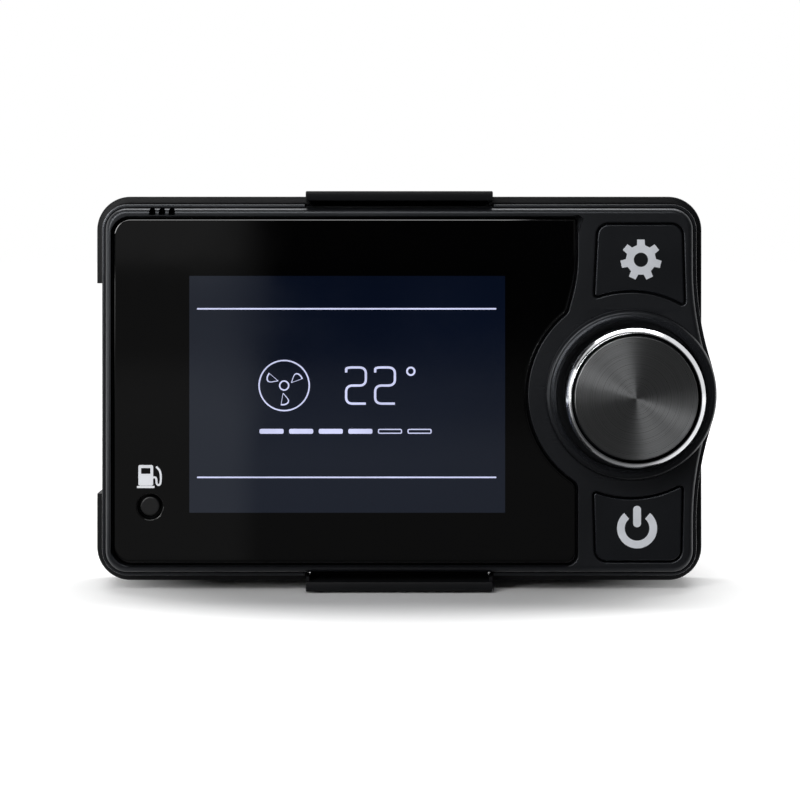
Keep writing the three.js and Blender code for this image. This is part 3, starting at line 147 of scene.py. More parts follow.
# Lens and display
LENS_GAP = 0.3
LENS_LEFT = glass_low[0] - LENS_GAP
LENS_TOP = glass_high[2] + LENS_GAP
LENS_BOTTOM = glass_low[2] - LENS_GAP
LENS_RIGHT = KNOB_X - 9.6
LENS_BEND = 7.2
LENS_BEND_R = 28.0
LENS_LEAN = np.radians(15)
LENS_ARC = 18.7
LENS_CORNER = 3.6
LENS_FILLET = 2.2
LENS_TIP = 0.8
LENS_SOFT = 1.0
LENS_FRONT = glass_high[1]
LENS_BACK = glass_low[1]
CELL_MARGIN = 1.5
PRIME_X = (prime_low[0] + prime_high[0]) / 2
PRIME_Z = (prime_low[2] + prime_high[2]) / 2
PRIME_HOLE = 2.25
# Keys
KEY_ARC = 19.0
KEY_CORNER = 2.0
KEY_TIP = 0.4
KEY_GROOVE = 0.35
KEY_FLANGE = 0.7
# Cradle
CRADLE_FIT = 0.3
CRADLE_OUT = -cradle_low[0] - HALF_WIDTH
CRADLE_PLATE = 2.0
CRADLE_RIM = 14.5
ARM_HALF = 17.0
ARM_SLIT = 0.6
ARM_BAR = 1.75
ARM_BACK = CRADLE_RIM + 0.5
ARM_FRONT = FACE + 1.2
ARM_ROUND = 0.6
CABLE_HALF_WIDTH = 13.0
CABLE_HALF_HEIGHT = 7.5
RIM_WALL = 1.45
# Screws, vents and hooks
SCREW_PLACES = [
    (x * (HALF_WIDTH - 3.85), z * (HALF_HEIGHT - 4.25)) for x in (-1, 1) for z in (-1, 1)
]
BOSS_R = 2.8
PILOT_R = 1.4
VENT_PITCH = 1.78
VENT_X = [-HALF_WIDTH + 9.05 + VENT_PITCH * index for index in range(3)]
VENT_TOP = HALF_HEIGHT - 0.25
VENT_HALF = 0.6
VENT_BACK = 13.6
HOOK_HALF = 7.0
# Points of an arc for each radian, times the root of its radius
ARC_FINENESS = 5.0

# ---- Outlines: arcs joined by straight lines, drawn inwards by an inset ----


def arc(x, z, radius, start, end):
    """An arc of an outline. A positive radius bulges outwards, and a negative one inwards."""
    return x, z, radius, start, end


def outline(arcs, inset=0.0):
    """Points of the arcs in order, as an array of x and z. Each arc is centre plus radius times
    the cosine and sine of an angle. An inset lessens an outward radius and adds to an inward
    one."""
    parts = []
    for x, z, radius, start, end in arcs:
        steps = max(4, int(np.ceil(abs(end - start) * np.sqrt(abs(radius)) * ARC_FINENESS)))
        angle = np.linspace(start, end, steps + 1)
        if radius < 0:
            drawn, past = -radius + inset, 0.0
        else:
            drawn = max(radius - inset, 0.02)
            past = min(0.0, radius - inset) / np.cos((end - start) / 2)
        middle = (start + end) / 2
        across = x + past * np.cos(middle) + drawn * np.cos(angle)
        up = z + past * np.sin(middle) + drawn * np.sin(angle)
        parts.append(np.stack([across, up], axis=1))
    return np.concatenate(parts)


def rectangle(left, right, bottom, top, corner, inset=0.0):
    """A rectangle with four quarter arcs of one radius for corners."""
    corners = [
        arc(right - corner, bottom + corner, corner, -QUARTER, 0),
        arc(right - corner, top - corner, corner, 0, QUARTER),
        arc(left + corner, top - corner, corner, QUARTER, HALF),
        arc(left + corner, bottom + corner, corner, HALF, 3 * QUARTER),
    ]
    return outline(corners, inset)


def panel(inset=0.0):
    """The panel's outline without its flare."""
    return rectangle(-HALF_WIDTH, HALF_WIDTH, -HALF_HEIGHT, HALF_HEIGHT, PANEL_CORNER, inset)


def flared(inset=0.0):
    """The panel's outline, swept out on the right round the knob by two hollow arcs and a full
    one."""
    sweep = 2 * np.arctan(FLARE_HEIGHT / FLARE_HALF)
    hollow = FLARE_HALF / np.sin(sweep) - FLARE_TIP_R
    side = HALF_WIDTH + hollow
    tip = HALF_WIDTH + FLARE_HEIGHT - FLARE_TIP_R
    c = PANEL_CORNER
    arcs = [
        arc(HALF_WIDTH - c, -HALF_HEIGHT + c, c, -QUARTER, 0),
        arc(side, KNOB_Z - FLARE_HALF, -hollow, HALF, HALF - sweep),
        arc(tip, KNOB_Z, FLARE_TIP_R, -sweep, sweep),
        arc(side, KNOB_Z + FLARE_HALF, -hollow, HALF + sweep, HALF),
        arc(HALF_WIDTH - c, HALF_HEIGHT - c, c, 0, QUARTER),
        arc(-HALF_WIDTH + c, HALF_HEIGHT - c, c, QUARTER, HALF),
        arc(-HALF_WIDTH + c, -HALF_HEIGHT + c, c, HALF, 3 * QUARTER),
    ]
    return outline(arcs, inset)


def unflared(inset=0.0):
    """The same outline with the flare cut off in line with the panel's right side."""
    points = flared(inset)
    points[:, 0] = np.minimum(points[:, 0], HALF_WIDTH - inset)
    return points


def fillet_centre(x, z, lean, side, radius, reach):
    """Centre of a fillet that touches a leaning line and, from outside, a circle round the knob.
    The line passes x at height z, and side is -1 when the fillet is on its left."""
    along = np.array([np.sin(lean), np.cos(lean)])
    start = np.array([x - KNOB_X, z - KNOB_Z])
    start = start + side * radius * np.array([np.cos(lean), -np.sin(lean)])
    back = start @ along
    rest = start @ start - (reach + radius) ** 2
    centre = start + along * (-back + np.sign(z - KNOB_Z) * np.sqrt(back * back - rest))
    return centre, np.arctan2(centre[1], centre[0]) % (2 * HALF)


def lens_outline(inset=0.0):
    """The lens: round on the left and hollowed on the right by an arc round the knob. Its right
    side bends in above that arc."""
    f = LENS_FILLET
    c = LENS_CORNER
    bend_x, bend_z = LENS_RIGHT - LENS_BEND_R, LENS_TOP - LENS_BEND
    low, low_angle = fillet_centre(LENS_RIGHT, LENS_BOTTOM, 0, -1, f, LENS_ARC)
    leaning_x = bend_x + LENS_BEND_R * np.cos(LENS_LEAN)
    leaning_z = bend_z - LENS_BEND_R * np.sin(LENS_LEAN)
    high, high_angle = fillet_centre(leaning_x, leaning_z, LENS_LEAN, -1, f, LENS_ARC)
    arcs = [
        arc(LENS_RIGHT - f, LENS_BOTTOM + f, f, -QUARTER, 0),
        arc(KNOB_X + low[0], KNOB_Z + low[1], f, 0, low_angle - HALF),
        arc(KNOB_X, KNOB_Z, -LENS_ARC, low_angle, high_angle),
        arc(KNOB_X + high[0], KNOB_Z + high[1], f, high_angle - HALF, -LENS_LEAN),
        arc(bend_x, bend_z, LENS_BEND_R, -LENS_LEAN, 0),
        arc(LENS_RIGHT - LENS_TIP, LENS_TOP - LENS_TIP, LENS_TIP, 0, QUARTER),
        arc(LENS_LEFT + c, LENS_TOP - c, c, QUARTER, HALF),
        arc(LENS_LEFT + c, LENS_BOTTOM + c, c, HALF, 3 * QUARTER),
    ]
    return outline(arcs, inset)


def key_outline(far, left, right, left_lean, right_lean, inset):
    """A key above the knob, in places from the knob axis: leaning sides, two round far corners, and
    a near edge hollowed round the knob."""
    left_lean, right_lean = np.radians(left_lean), np.radians(right_lean)
    near = (KEY_TIP, KEY_ARC)
    low, low_angle = fillet_centre(KNOB_X - left, KNOB_Z + far, left_lean, 1, *near)
    high, high_angle = fillet_centre(KNOB_X + right, KNOB_Z + far, -right_lean, -1, *near)
    c = KEY_CORNER
    right_in = c * (1 - np.sin(right_lean)) / np.cos(right_lean)
    left_in = c * (1 - np.sin(left_lean)) / np.cos(left_lean)
    arcs = [
        arc(0, 0, -KEY_ARC, low_angle, high_angle),
        arc(high[0], high[1], KEY_TIP, high_angle - HALF, right_lean),
        arc(right - right_in, far - c, c, right_lean, QUARTER),
        arc(-left + left_in, far - c, c, QUARTER, HALF - left_lean),
        arc(low[0], low[1], KEY_TIP, HALF - left_lean, low_angle + HALF),
    ]
    return outline(arcs, inset)


def gear_key(inset=0.0):
    """The settings key, above the knob."""
    far = HALF_HEIGHT - 3.45 - KNOB_Z
    return key_outline(far, 5.95, 9.25, 2.8, 1.7, inset) + [KNOB_X, KNOB_Z]


def power_key(inset=0.0):
    """The power key: a key above the knob, turned over to lie below it."""
    far = HALF_HEIGHT - 2.65 + KNOB_Z
    points = key_outline(far, 6.4, 9.0, 1.6, 1.2, inset) * [1, -1] + [KNOB_X, KNOB_Z]
    return points[::-1].copy()


def picture_box(margin, corner):
    """The display cell's rectangle, drawn in by a margin."""
    left, right = cell_low[0] + margin, cell_high[0] - margin
    return rectangle(left, right, cell_low[2] + margin, cell_high[2] - margin, corner)


def circle(radius, x, z, segments=160):
    """Centre plus radius times the cosine and sine of evenly spaced angles."""
    angle = np.arange(segments) / segments * 2 * HALF
    return np.stack([x + radius * np.cos(angle), z + radius * np.sin(angle)], axis=1)


def quarter_round(steps, radius, depth, wide, tall, start=0.0, end=QUARTER):
    """A share of an ellipse as (radius, depth) rows: centre plus wide cos(t) and tall sin(t)."""
    angle = np.linspace(start, end, steps)
    return list(zip(radius + wide * np.cos(angle), depth + tall * np.sin(angle)))


# ---- Meshes ----


class Shell:
    """The points and faces of a closed piece. A wall joins outlines with the same number of points,
    and a cap is a flat area between outlines. Each point has a share of edge wear and painted
    highlight."""

    def __init__(self):
        self.rows, self.worn, self.faces = [], [], []
        self.flat, self.marks = [], []
        self.total = 0

    def ring(self, points, depth, worn=0.0):
        """Adds an outline at a depth and returns the numbers of its points."""
        depths = np.full(len(points), float(depth))
        self.rows.append(np.stack([points[:, 0], -depths, points[:, 1]], axis=1) * MM)
        self.worn.append(np.full(len(points), worn))
        first = self.total
        self.total += len(points)
        return first + np.arange(len(points))

    def wall(self, levels, inward=False):
        """Quads between the outlines of levels, which run from the rear to the front and are
        (depth, outline) or (depth, outline, wear and painted highlight). Returns the rear and the
        front ring."""
        rings = [self.ring(level[1], level[0], *level[2:]) for level in levels]
        for rear, front in zip(rings, rings[1:]):
            quads = np.stack([rear, np.roll(rear, -1), np.roll(front, -1), front], axis=1)
            self.add(quads[:, ::-1] if inward else quads)
        return rings[0], rings[-1]

    def add(self, faces, flat=False, mark=0):
        self.faces.extend(np.asarray(faces).tolist())
        self.flat.extend([flat] * len(faces))
        self.marks.extend([mark] * len(faces))

    def cap(self, rings, front=True, mark=0):
        """A flat area inside the first ring and outside the others."""
        rows = np.concatenate(self.rows)
        ids = np.concatenate(rings)
        loops = [[Vector((rows[i][0], rows[i][2], 0)) for i in ring] for ring in rings]
        corners = ids[np.array(tessellate_polygon(loops))]
        a, b, c = (rows[corners[:, k]] for k in range(3))
        turn = (b - a)[:, 0] * (c - a)[:, 2] - (b - a)[:, 2] * (c - a)[:, 0]
        wrong = (turn > 0) != front
        corners[wrong] = corners[wrong][:, ::-1]
        self.add(corners, True, mark)

    def mesh(self, name):
        mesh = bpy.data.meshes.new(name)
        mesh.from_pydata(np.concatenate(self.rows).tolist(), [], self.faces)
        mesh.polygons.foreach_set("material_index", np.asarray(self.marks, np.int32))
        mesh.polygons.foreach_set("use_smooth", ~np.asarray(self.flat, bool))
        worn = mesh.attributes.new("worn", "FLOAT", "POINT")
        worn.data.foreach_set("value", np.concatenate(self.worn).astype(np.float32))
        mesh.validate()
        return mesh


def placed(mesh, name, body, materials, sharp=35.0):
    """A mesh object at the origin that rides on a body. Edges sharper than an angle show."""
    piece = bpy.data.objects.new(name, mesh)
    bpy.context.scene.collection.objects.link(piece)
    for material in materials:
        mesh.materials.append(material)
    mesh.set_sharp_from_angle(angle=np.radians(sharp))
    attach(piece, body)
    return piece


def prism(shell, points, back, front):
    """A flat outline pushed forwards from one depth to another, added to a shell."""
    rear, fore = shell.wall([(back, np.asarray(points, float)), (front, np.asarray(points, float))])
    shell.cap([rear], front=False)
    shell.cap([fore])


def block(shell, left, right, back, front, bottom, top):
    """A plain block between six planes, added to a shell."""
    prism(shell, [(left, bottom), (right, bottom), (right, top), (left, top)], back, front)


def tube(shell, radius, back, front, x, z, segments=48):
    """A round rod along the depth, added to a shell."""
    prism(shell, circle(radius, x, z, segments), back, front)


def sideways(shell, profile, left, right, soft=0.0):
    """A profile of (depth, z) carried along x, with its ends drawn in by soft, added to a shell."""
    profile = np.asarray(profile, float)
    turn = profile - np.roll(profile, 1, axis=0)
    ahead = np.roll(profile, -1, axis=0) - profile
    after = np.roll(profile, -1, axis=0)
    if np.sum(profile[:, 0] * after[:, 1] - profile[:, 1] * after[:, 0]) > 0:
        profile, turn, ahead = profile[::-1], -ahead[::-1], -turn[::-1]
    turn = turn / np.linalg.norm(turn, axis=1)[:, None]
    ahead = ahead / np.linalg.norm(ahead, axis=1)[:, None]
    inward = np.stack([turn[:, 1] + ahead[:, 1], -turn[:, 0] - ahead[:, 0]], axis=1)
    inward /= (1 + np.sum(turn * ahead, axis=1))[:, None]
    steps = [(left, soft), (left + soft, 0.0), (right - soft, 0.0), (right, soft)]
    if soft == 0:
        steps = steps[::3]
    rings = []
    for x, drawn in steps:
        points = profile + inward * drawn
        rows = np.stack([np.full(len(points), x), -points[:, 0], points[:, 1]], axis=1) * MM
        shell.rows.append(rows)
        # Drawn-in ends get full edge wear and painted highlight, the rest 0.4.
        shell.worn.append(np.full(len(points), 1.0 if drawn else 0.4))
        rings.append(shell.total + np.arange(len(points)))
        shell.total += len(points)
    for near, far in zip(rings, rings[1:]):
        shell.add(np.stack([near, np.roll(near, -1), np.roll(far, -1), far], axis=1))
    shell.add([rings[0][::-1]], True)
    shell.add([rings[-1]], True)


def hoop(shell, section, x, z, segments=200):
    """A closed section of (radius, depth) or (radius, depth, wear and painted highlight), turned
    about an axis that points at the wall and added to a shell."""
    rings = [(row[1], circle(row[0], x, z, segments), *row[2:]) for row in section]
    first, last = shell.wall(rings)
    shell.add(np.stack([last, np.roll(last, -1), np.roll(first, -1), first], axis=1))


def carved(piece, shell, operation="DIFFERENCE"):
    """Joins a shell's solids to a piece, or cuts them out of it, with the result in its mesh."""
    tool_mesh = shell.mesh("tool")
    work = bmesh.new()
    work.from_mesh(tool_mesh)
    bmesh.ops.recalc_face_normals(work, faces=work.faces)
    work.to_mesh(tool_mesh)
    work.free()
    tool = bpy.data.objects.new("tool", tool_mesh)
    bpy.context.scene.collection.objects.link(tool)
    change = piece.modifiers.new("carve", "BOOLEAN")
    change.object = tool
    change.operation = operation
    change.solver = "EXACT"
    bpy.context.view_layer.update()
    changed = piece.evaluated_get(bpy.context.evaluated_depsgraph_get())
    mesh = bpy.data.meshes.new_from_object(changed)
    piece.modifiers.clear()
    piece.data = mesh
    bpy.data.objects.remove(tool)
    mesh.set_sharp_from_angle(angle=np.radians(35))


def turned(name, profile, x, z, body, materials, segments=192, sharp=35.0, around=False):
    """A profile of (radius, depth) turned about an axis that points at the wall. Its UV map holds
    the angle and the place along the profile. With around, the profile closes on itself."""
    profile = np.asarray(profile, float)
    count = len(profile)
    angle = np.arange(segments) / segments * 2 * HALF
    radius, depth = profile[:, 0], profile[:, 1]
    across = x + radius[:, None] * np.cos(angle)
    up = z + radius[:, None] * np.sin(angle)
    back = np.repeat(-depth[:, None], segments, axis=1)
    rows = np.stack([across, back, up], axis=2).reshape(-1, 3) * MM
    i = np.arange(segments)
    j = (i + 1) % segments
    faces = []
    for ring in range(count if around else count - 1):
        here = ring * segments
        there = ((ring + 1) % count) * segments
        faces.extend(np.stack([here + i, here + j, there + j, there + i], axis=1).tolist())
    if not around:
        faces.append(list(range(segments))[::-1])
        faces.append(list((count - 1) * segments + i))
    mesh = bpy.data.meshes.new(name)
    mesh.from_pydata(rows.tolist(), [], faces)
    mesh.shade_smooth()
    uv = mesh.uv_layers.new(name="spun")
    corner = np.zeros(len(mesh.loops), np.int32)
    mesh.loops.foreach_get("vertex_index", corner)
    turn = (corner % segments) / segments
    quads = np.arange(len(faces) - (0 if around else 2))[:, None] * 4 + np.arange(4)
    seam = np.ptp(turn[quads], axis=1) > 0.5
    turn[quads[seam]] += turn[quads[seam]] < 0.5
    uv.data.foreach_set("uv", np.stack([turn, corner // segments / count], axis=1).ravel())
    return placed(mesh, name, body, materials, sharp)


slot_of = {part["node"]: part["material_slot"] for part in frame["record"]["subparts"]}


def smoothed(node, material, sharp=28.0):
    """A merged copy of a CAD node with smooth shading, in the node's place."""
    source = nodes[node]
    mesh = source.data.copy()
    mesh.materials.clear()
    work = bmesh.new()
    work.from_mesh(mesh)
    bmesh.ops.remove_doubles(work, verts=work.verts, dist=1e-6)
    work.to_mesh(mesh)
    work.free()
    mesh.shade_smooth()
    piece = placed(mesh, node + "_finished", source["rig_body"], [material], sharp)
    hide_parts(node)


# ---- Materials ----


def add_node(tree, kind, settings=None, **inputs):
    """A node with its settings and inputs. An input is a value or an output to link."""
    node = tree.nodes.new(kind)
    for key, value in (settings or {}).items():
        setattr(node, key, value)
    for key, value in inputs.items():
        socket = node.inputs[int(key[1:]) if key[1:].isdigit() else key.replace("_", " ")]
        if isinstance(value, bpy.types.NodeSocket):
            tree.links.new(value, socket)
        else:
            socket.default_value = value
    return node


def maths(tree, operation, first, second=0.0):
    """The output of a Math node."""
    settings = {"operation": operation}
    return add_node(tree, "ShaderNodeMath", settings, i0=first, i1=second).outputs["Value"]


def spread(tree, value, low, high, start=0.0, end=1.0, smooth=False):
    """A value carried from one range to another, and held at its ends."""
    settings = {"interpolation_type": "SMOOTHSTEP"} if smooth else None
    sockets = {"From_Min": low, "From_Max": high, "To_Min": start, "To_Max": end}
    return add_node(tree, "ShaderNodeMapRange", settings, Value=value, **sockets).outputs["Result"]


def times(tree, first, *others):
    """The product of values."""
    for other in others:
        first = maths(tree, "MULTIPLY", first, other)
    return first


def noise(tree, vector, scale, detail):
    sockets = {"Vector": vector, "Scale": scale, "Detail": detail}
    return add_node(tree, "ShaderNodeTexNoise", None, **sockets).outputs["Fac"]


def scaled(tree, colour, factor):
    settings = {"operation": "SCALE"}
    node = add_node(tree, "ShaderNodeVectorMath", settings, i0=colour, Scale=factor)
    return node.outputs["Vector"]


def length_of(tree, vector):
    node = add_node(tree, "ShaderNodeVectorMath", {"operation": "LENGTH"}, i0=vector)
    return node.outputs["Value"]


def place_on(tree):
    """The place on the object, in metres."""
    return tree.nodes.new("ShaderNodeTexCoord").outputs["Object"]


def socket_of(group, name, kind, direction, value=None):
    socket = group.interface.new_socket(name=name, in_out=direction, socket_type=kind)
    if value is not None:
        socket.default_value = value


def finish_group():
    """A moulded, painted or printed finish: a soft two-scale change of tone and gloss, a fine
    grain, and edges that are smoother from wear and lighter from a painted highlight, where the
    piece's wear and highlight attribute says so."""
    group = bpy.data.node_groups.new("grain, edge wear and painted edge highlight", "ShaderNodeTree")
    socket_of(group, "Colour", "NodeSocketColor", "INPUT", (0.02, 0.02, 0.02, 1))
    socket_of(group, "Roughness", "NodeSocketFloat", "INPUT", 0.5)
    socket_of(group, "Grain size", "NodeSocketFloat", "INPUT", 2600.0)
    socket_of(group, "Grain depth", "NodeSocketFloat", "INPUT", 0.2)
    socket_of(group, "Edge wear", "NodeSocketFloat", "INPUT", 0.5)
    socket_of(group, "Colour", "NodeSocketColor", "OUTPUT")
    socket_of(group, "Roughness", "NodeSocketFloat", "OUTPUT")
    socket_of(group, "Normal", "NodeSocketVector", "OUTPUT")
    given = group.nodes.new("NodeGroupInput").outputs
    out = group.nodes.new("NodeGroupOutput")
    where = place_on(group)
    broad = noise(group, where, 60.0, 3.0)
    middle = noise(group, where, 420.0, 2.0)
    grain = noise(group, where, given["Grain size"], 2.0)
    rubbed_and_highlight = add_node(group, "ShaderNodeAttribute", {"attribute_name": "worn"}).outputs["Fac"]
    patchy = spread(group, middle, 0.3, 0.7, 0.35, 1.0)
    wear_and_highlight = times(group, rubbed_and_highlight, patchy, given["Edge wear"])
    tone = spread(group, broad, 0.25, 0.75, 0.85, 1.15)
    # Painted highlight: the attribute lightens the colour along rounded edges. Below, it also
    # lowers the roughness as edge wear.
    tone = maths(group, "ADD", tone, times(group, wear_and_highlight, 0.6))
    tone = times(group, tone, spread(group, middle, 0.25, 0.75, 0.94, 1.06))
    gloss = maths(group, "ADD", given["Roughness"], spread(group, broad, 0.25, 0.75, -0.04, 0.04))
    gloss = maths(group, "SUBTRACT", gloss, times(group, wear_and_highlight, 0.16))
    relief = {"Strength": given["Grain depth"], "Distance": 0.00004, "Height": grain}
    bump = add_node(group, "ShaderNodeBump", None, **relief)
    group.links.new(scaled(group, given["Colour"], tone), out.inputs["Colour"])
    group.links.new(gloss, out.inputs["Roughness"])
    group.links.new(bump.outputs["Normal"], out.inputs["Normal"])
    return group


FINISH = finish_group()


def new_surface(name):
    """A material with its tree and its Principled shader."""
    material = bpy.data.materials.new(name)
    material.use_nodes = True
    tree = material.node_tree
    return material, tree, tree.nodes["Principled BSDF"]


def finish(name, colour, roughness, grain_size, grain_depth, edge_wear=0.0, **sockets):
    """A Principled surface whose colour, roughness and normal come from the finish group."""
    material, tree, shader = new_surface(name)
    values = dict(Colour=(*colour, 1), Roughness=roughness, Grain_size=grain_size)
    values.update(Grain_depth=grain_depth, Edge_wear=edge_wear)
    grain = add_node(tree, "ShaderNodeGroup", {"node_tree": FINISH}, **values)
    tree.links.new(grain.outputs["Colour"], shader.inputs["Base Color"])
    tree.links.new(grain.outputs["Roughness"], shader.inputs["Roughness"])
    if grain_depth:
        tree.links.new(grain.outputs["Normal"], shader.inputs["Normal"])
    for socket, value in sockets.items():
        shader.inputs[socket.replace("_", " ")].default_value = value
    return material


def spun_material():
    """Dark aluminium spun in circles: fine rings change its tone and gloss with the distance from
    the knob axis, and its tangent follows the turning."""
    material, tree, shader = new_surface("spun aluminium")
    shader.inputs["Metallic"].default_value = 1.0
    shader.inputs["Anisotropic"].default_value = 0.9
    shader.inputs["Anisotropic Rotation"].default_value = 0.25
    flat = {"Location": (-KNOB_X * MM, 0, -KNOB_Z * MM), "Scale": (1, 0, 1)}
    centred = add_node(tree, "ShaderNodeMapping", None, Vector=place_on(tree), **flat)
    turning = {"W": length_of(tree, centred.outputs["Vector"]), "Scale": 9000.0, "Detail": 3.0}
    settings = {"noise_dimensions": "1D"}
    rings = add_node(tree, "ShaderNodeTexNoise", settings, **turning).outputs["Fac"]
    tone = spread(tree, rings, 0.25, 0.75, 0.72, 1.28)
    tree.links.new(scaled(tree, (0.25, 0.255, 0.26), tone), shader.inputs["Base Color"])
    tree.links.new(spread(tree, rings, 0.25, 0.75, 0.26, 0.4), shader.inputs["Roughness"])
    tangent = add_node(tree, "ShaderNodeTangent", {"direction_type": "UV_MAP", "uv_map": "spun"})
    tree.links.new(tangent.outputs["Tangent"], shader.inputs["Tangent"])
    return material


def picture_material():
    """The lit picture area: a dark blue glow that is a little uneven, below glass that mirrors
    more than the black border does."""
    material = finish("lit display", (0.0015, 0.002, 0.004), 0.07, 400, 0.0, 0.0, IOR=2.3)
    tree = material.node_tree
    shader = tree.nodes["Principled BSDF"]
    shader.inputs["Specular Tint"].default_value = (0.86, 0.92, 1.0, 1)
    tone = spread(tree, noise(tree, place_on(tree), 25.0, 1.0), 0.3, 0.7, 0.85, 1.15)
    glow = scaled(tree, (0.0005, 0.0022, 0.0086), tone)
    tree.links.new(glow, shader.inputs["Emission Color"])
    shader.inputs["Emission Strength"].default_value = 1.0
    return material


def ink(name, colour, glow):
    """Ink with a slightly uneven tone that glows in its own colour: painted light on the printed
    signs, and the display's own light on its lit lines.
    """
    material = finish(name, colour, 0.45, 1800.0, 0.1)
    tree = material.node_tree
    shader = tree.nodes["Principled BSDF"]
    grain = next(n for n in tree.nodes if n.type == "GROUP")
    tree.links.new(grain.outputs["Colour"], shader.inputs["Emission Color"])
    shader.inputs["Emission Strength"].default_value = glow
    return material


COOL = (0.9, 0.94, 1.0, 1)
METAL = {"Metallic": 1.0}
# A finish's sixth argument is its edge wear, which also lightens rounded edges as a painted
# highlight.
looks = {
    "housing_plastic": finish(
        "housing plastic", (0.0066, 0.0070, 0.0084), 0.36, 2600, 0.22, 1.2, Specular_Tint=COOL
    ),
    "key_plastic": finish(
        "key plastic", (0.0036, 0.0040, 0.0054), 0.36, 3000, 0.16, 1.4, Specular_Tint=COOL
    ),
    "lens_gloss": finish("lens gloss", (0.0006, 0.0006, 0.0007), 0.05, 400, 0.0),
    "display": finish("display glass", (0.004, 0.005, 0.01), 0.1, 400, 0.0),
    "white_plastic": finish("white plastic", (0.6, 0.6, 0.56), 0.45, 1500, 0.2),
    "foam": finish("black foam", (0.012, 0.012, 0.013), 0.9, 1200, 0.8),
    "board": finish("board lacquer", (0.008, 0.07, 0.03), 0.35, 900, 0.1),
    "amber_film": finish("amber film", (0.42, 0.15, 0.025), 0.3, 700, 0.05),
    "steel": finish("plain steel", (0.42, 0.43, 0.44), 0.3, 1500, 0.1, **METAL),
    "zinc": finish("cast zinc", (0.36, 0.37, 0.38), 0.42, 1300, 0.25, **METAL),
    "chrome": finish("bright chrome", (0.66, 0.67, 0.69), 0.12, 900, 0.0, **METAL),
    "spun_aluminium": spun_material(),
}
cradle_plastic = finish(
    "cradle plastic", (0.0062, 0.0065, 0.0074), 0.45, 2200, 0.35, 0.6, Specular_IOR_Level=0.14
)
button_plastic = finish("button plastic", (0.012, 0.012, 0.0125), 0.3, 2400, 0.1, 0.4)
picture = picture_material()
# Painted light: the signs glow only to look brighter. The display's lines glow as the display does.
symbol_ink_painted_glow = ink("symbol ink with painted glow", (0.57, 0.59, 0.63), glow=0.26)
pump_ink_painted_glow = ink("pump sign ink with painted glow", (0.80, 0.82, 0.86), glow=0.3)
lit_line = ink("lit line", (0.42, 0.44, 0.62), glow=1.0)

for node_name, node_object in nodes.items():
    node_object.data.materials.clear()
    node_object.data.materials.append(looks[slot_of[node_name]])

# ---- Front housing ----


def broken_edge(shape, depth, inset, soft, width=0.15):
    """The levels that break a hole's front edge: a quarter round of radius soft that opens
    outwards, then a narrow flat ring, so that the flat face beyond it isn't shaded as part of the
    round."""
    angle = np.linspace(0, QUARTER, 5)
    # Each round level also carries edge wear and a painted highlight, most halfway round.
    levels = [
        (depth - soft * (1 - np.sin(a)), shape(inset - soft * (1 - np.cos(a))), np.sin(2 * a))
        for a in angle
    ]
    return levels + [(depth, shape(inset - soft - width), 0.0)]


def housing_shell():
    """The front housing without its collar: a skirt behind a face, whose front edge is a lip, a
    groove and a quarter round. Its face has a recess for the lens, two stepped key holes and the
    well."""
    shell = Shell()
    angle = np.linspace(0, QUARTER, 13)
    heights = ROUND_FROM + (FACE - ROUND_FROM) * np.sin(angle)
    insets = LIP_IN + EDGE_ROUND * (1 - np.cos(angle))
    # Third values are edge wear and painted highlight: a little on the round, most on the lip.
    rounding = [(depth, flared(inset), 0.25) for depth, inset in zip(heights, insets)]
    outer = [
        (HOUSING_BACK, unflared(0)),
        (FLARE_BACK, unflared(0)),
        (FLARE_BACK, flared(0)),
        (FLARE_BACK + 0.1, flared(-0.15)),
        (FLARE_BACK + 0.3, flared(-LIP_OVER)),
        (LIP - 0.12, flared(-LIP_OVER), 0.3),
        (LIP - 0.035, flared(-LIP_OVER + 0.035), 1.0),
        (LIP, flared(-LIP_OVER + 0.12), 1.0),
        (LIP, flared(LIP_IN - 0.2), 0.3),
        (LIP - 0.2, flared(LIP_IN - 0.1)),
        *rounding,
        (FACE, flared(LIP_IN + EDGE_ROUND + 0.1)),
    ]
    rear_rim, front_edge = shell.wall(outer)
    recess = [(DECK_FRONT, lens_outline(0)), *broken_edge(lens_outline, FACE, 0, 0.12, 0.06)]
    lens_floor, lens_top = shell.wall(recess, inward=True)
    holes, flange_rims = [], []
    for shape in (gear_key, power_key):
        wide = shape(-KEY_FLANGE - 0.5)
        behind, step = shell.wall([(DECK_BACK, wide), (FACE_BACK, wide)], inward=True)
        narrow, top = shell.wall(
            [(FACE_BACK, shape(-KEY_GROOVE)), *broken_edge(shape, FACE, -KEY_GROOVE, 0.22, 0.1)],
            inward=True,
        )
        shell.cap([step, narrow], front=False)
        flange_rims.append(behind)
        holes.append(top)
    neck_hole = circle(NECK_HOLE, KNOB_X, KNOB_Z)
    hole = circle(WELL_R + 0.15, KNOB_X, KNOB_Z)
    well = [(DECK_BACK, neck_hole), (WELL_FLOOR, neck_hole), (WELL_FLOOR, hole), (FACE, hole)]
    neck, well_edge = shell.wall(well, inward=True)
    window = picture_box(-LENS_GAP, 0.2)
    window_rear, window_front = shell.wall([(DECK_BACK, window), (DECK_FRONT, window)], inward=True)
    bore = circle(PRIME_HOLE, PRIME_X, PRIME_Z, 64)
    bore_rear, bore_front = shell.wall([(DECK_BACK, bore), (DECK_FRONT, bore)], inward=True)
    inside = unflared(WALL)
    inside_rim, ceiling = shell.wall([(HOUSING_BACK, inside), (DECK_BACK, inside)], inward=True)
    shell.cap([front_edge, lens_top, *holes, well_edge])
    shell.cap([lens_floor, window_front, bore_front])
    shell.cap([ceiling, window_rear, bore_rear, *flange_rims, neck], front=False)
    shell.cap([rear_rim, inside_rim], front=False)
    return shell


housing = placed(
    housing_shell().mesh("front_housing_finished"),
    "front_housing_finished",
    "panel",
    [looks["housing_plastic"]],
)
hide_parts("front_housing")

bosses = Shell()
for boss_x, boss_z in SCREW_PLACES:
    tube(bosses, BOSS_R, HOUSING_BACK, DECK_BACK + 0.4, boss_x, boss_z)
carved(housing, bosses, "UNION")

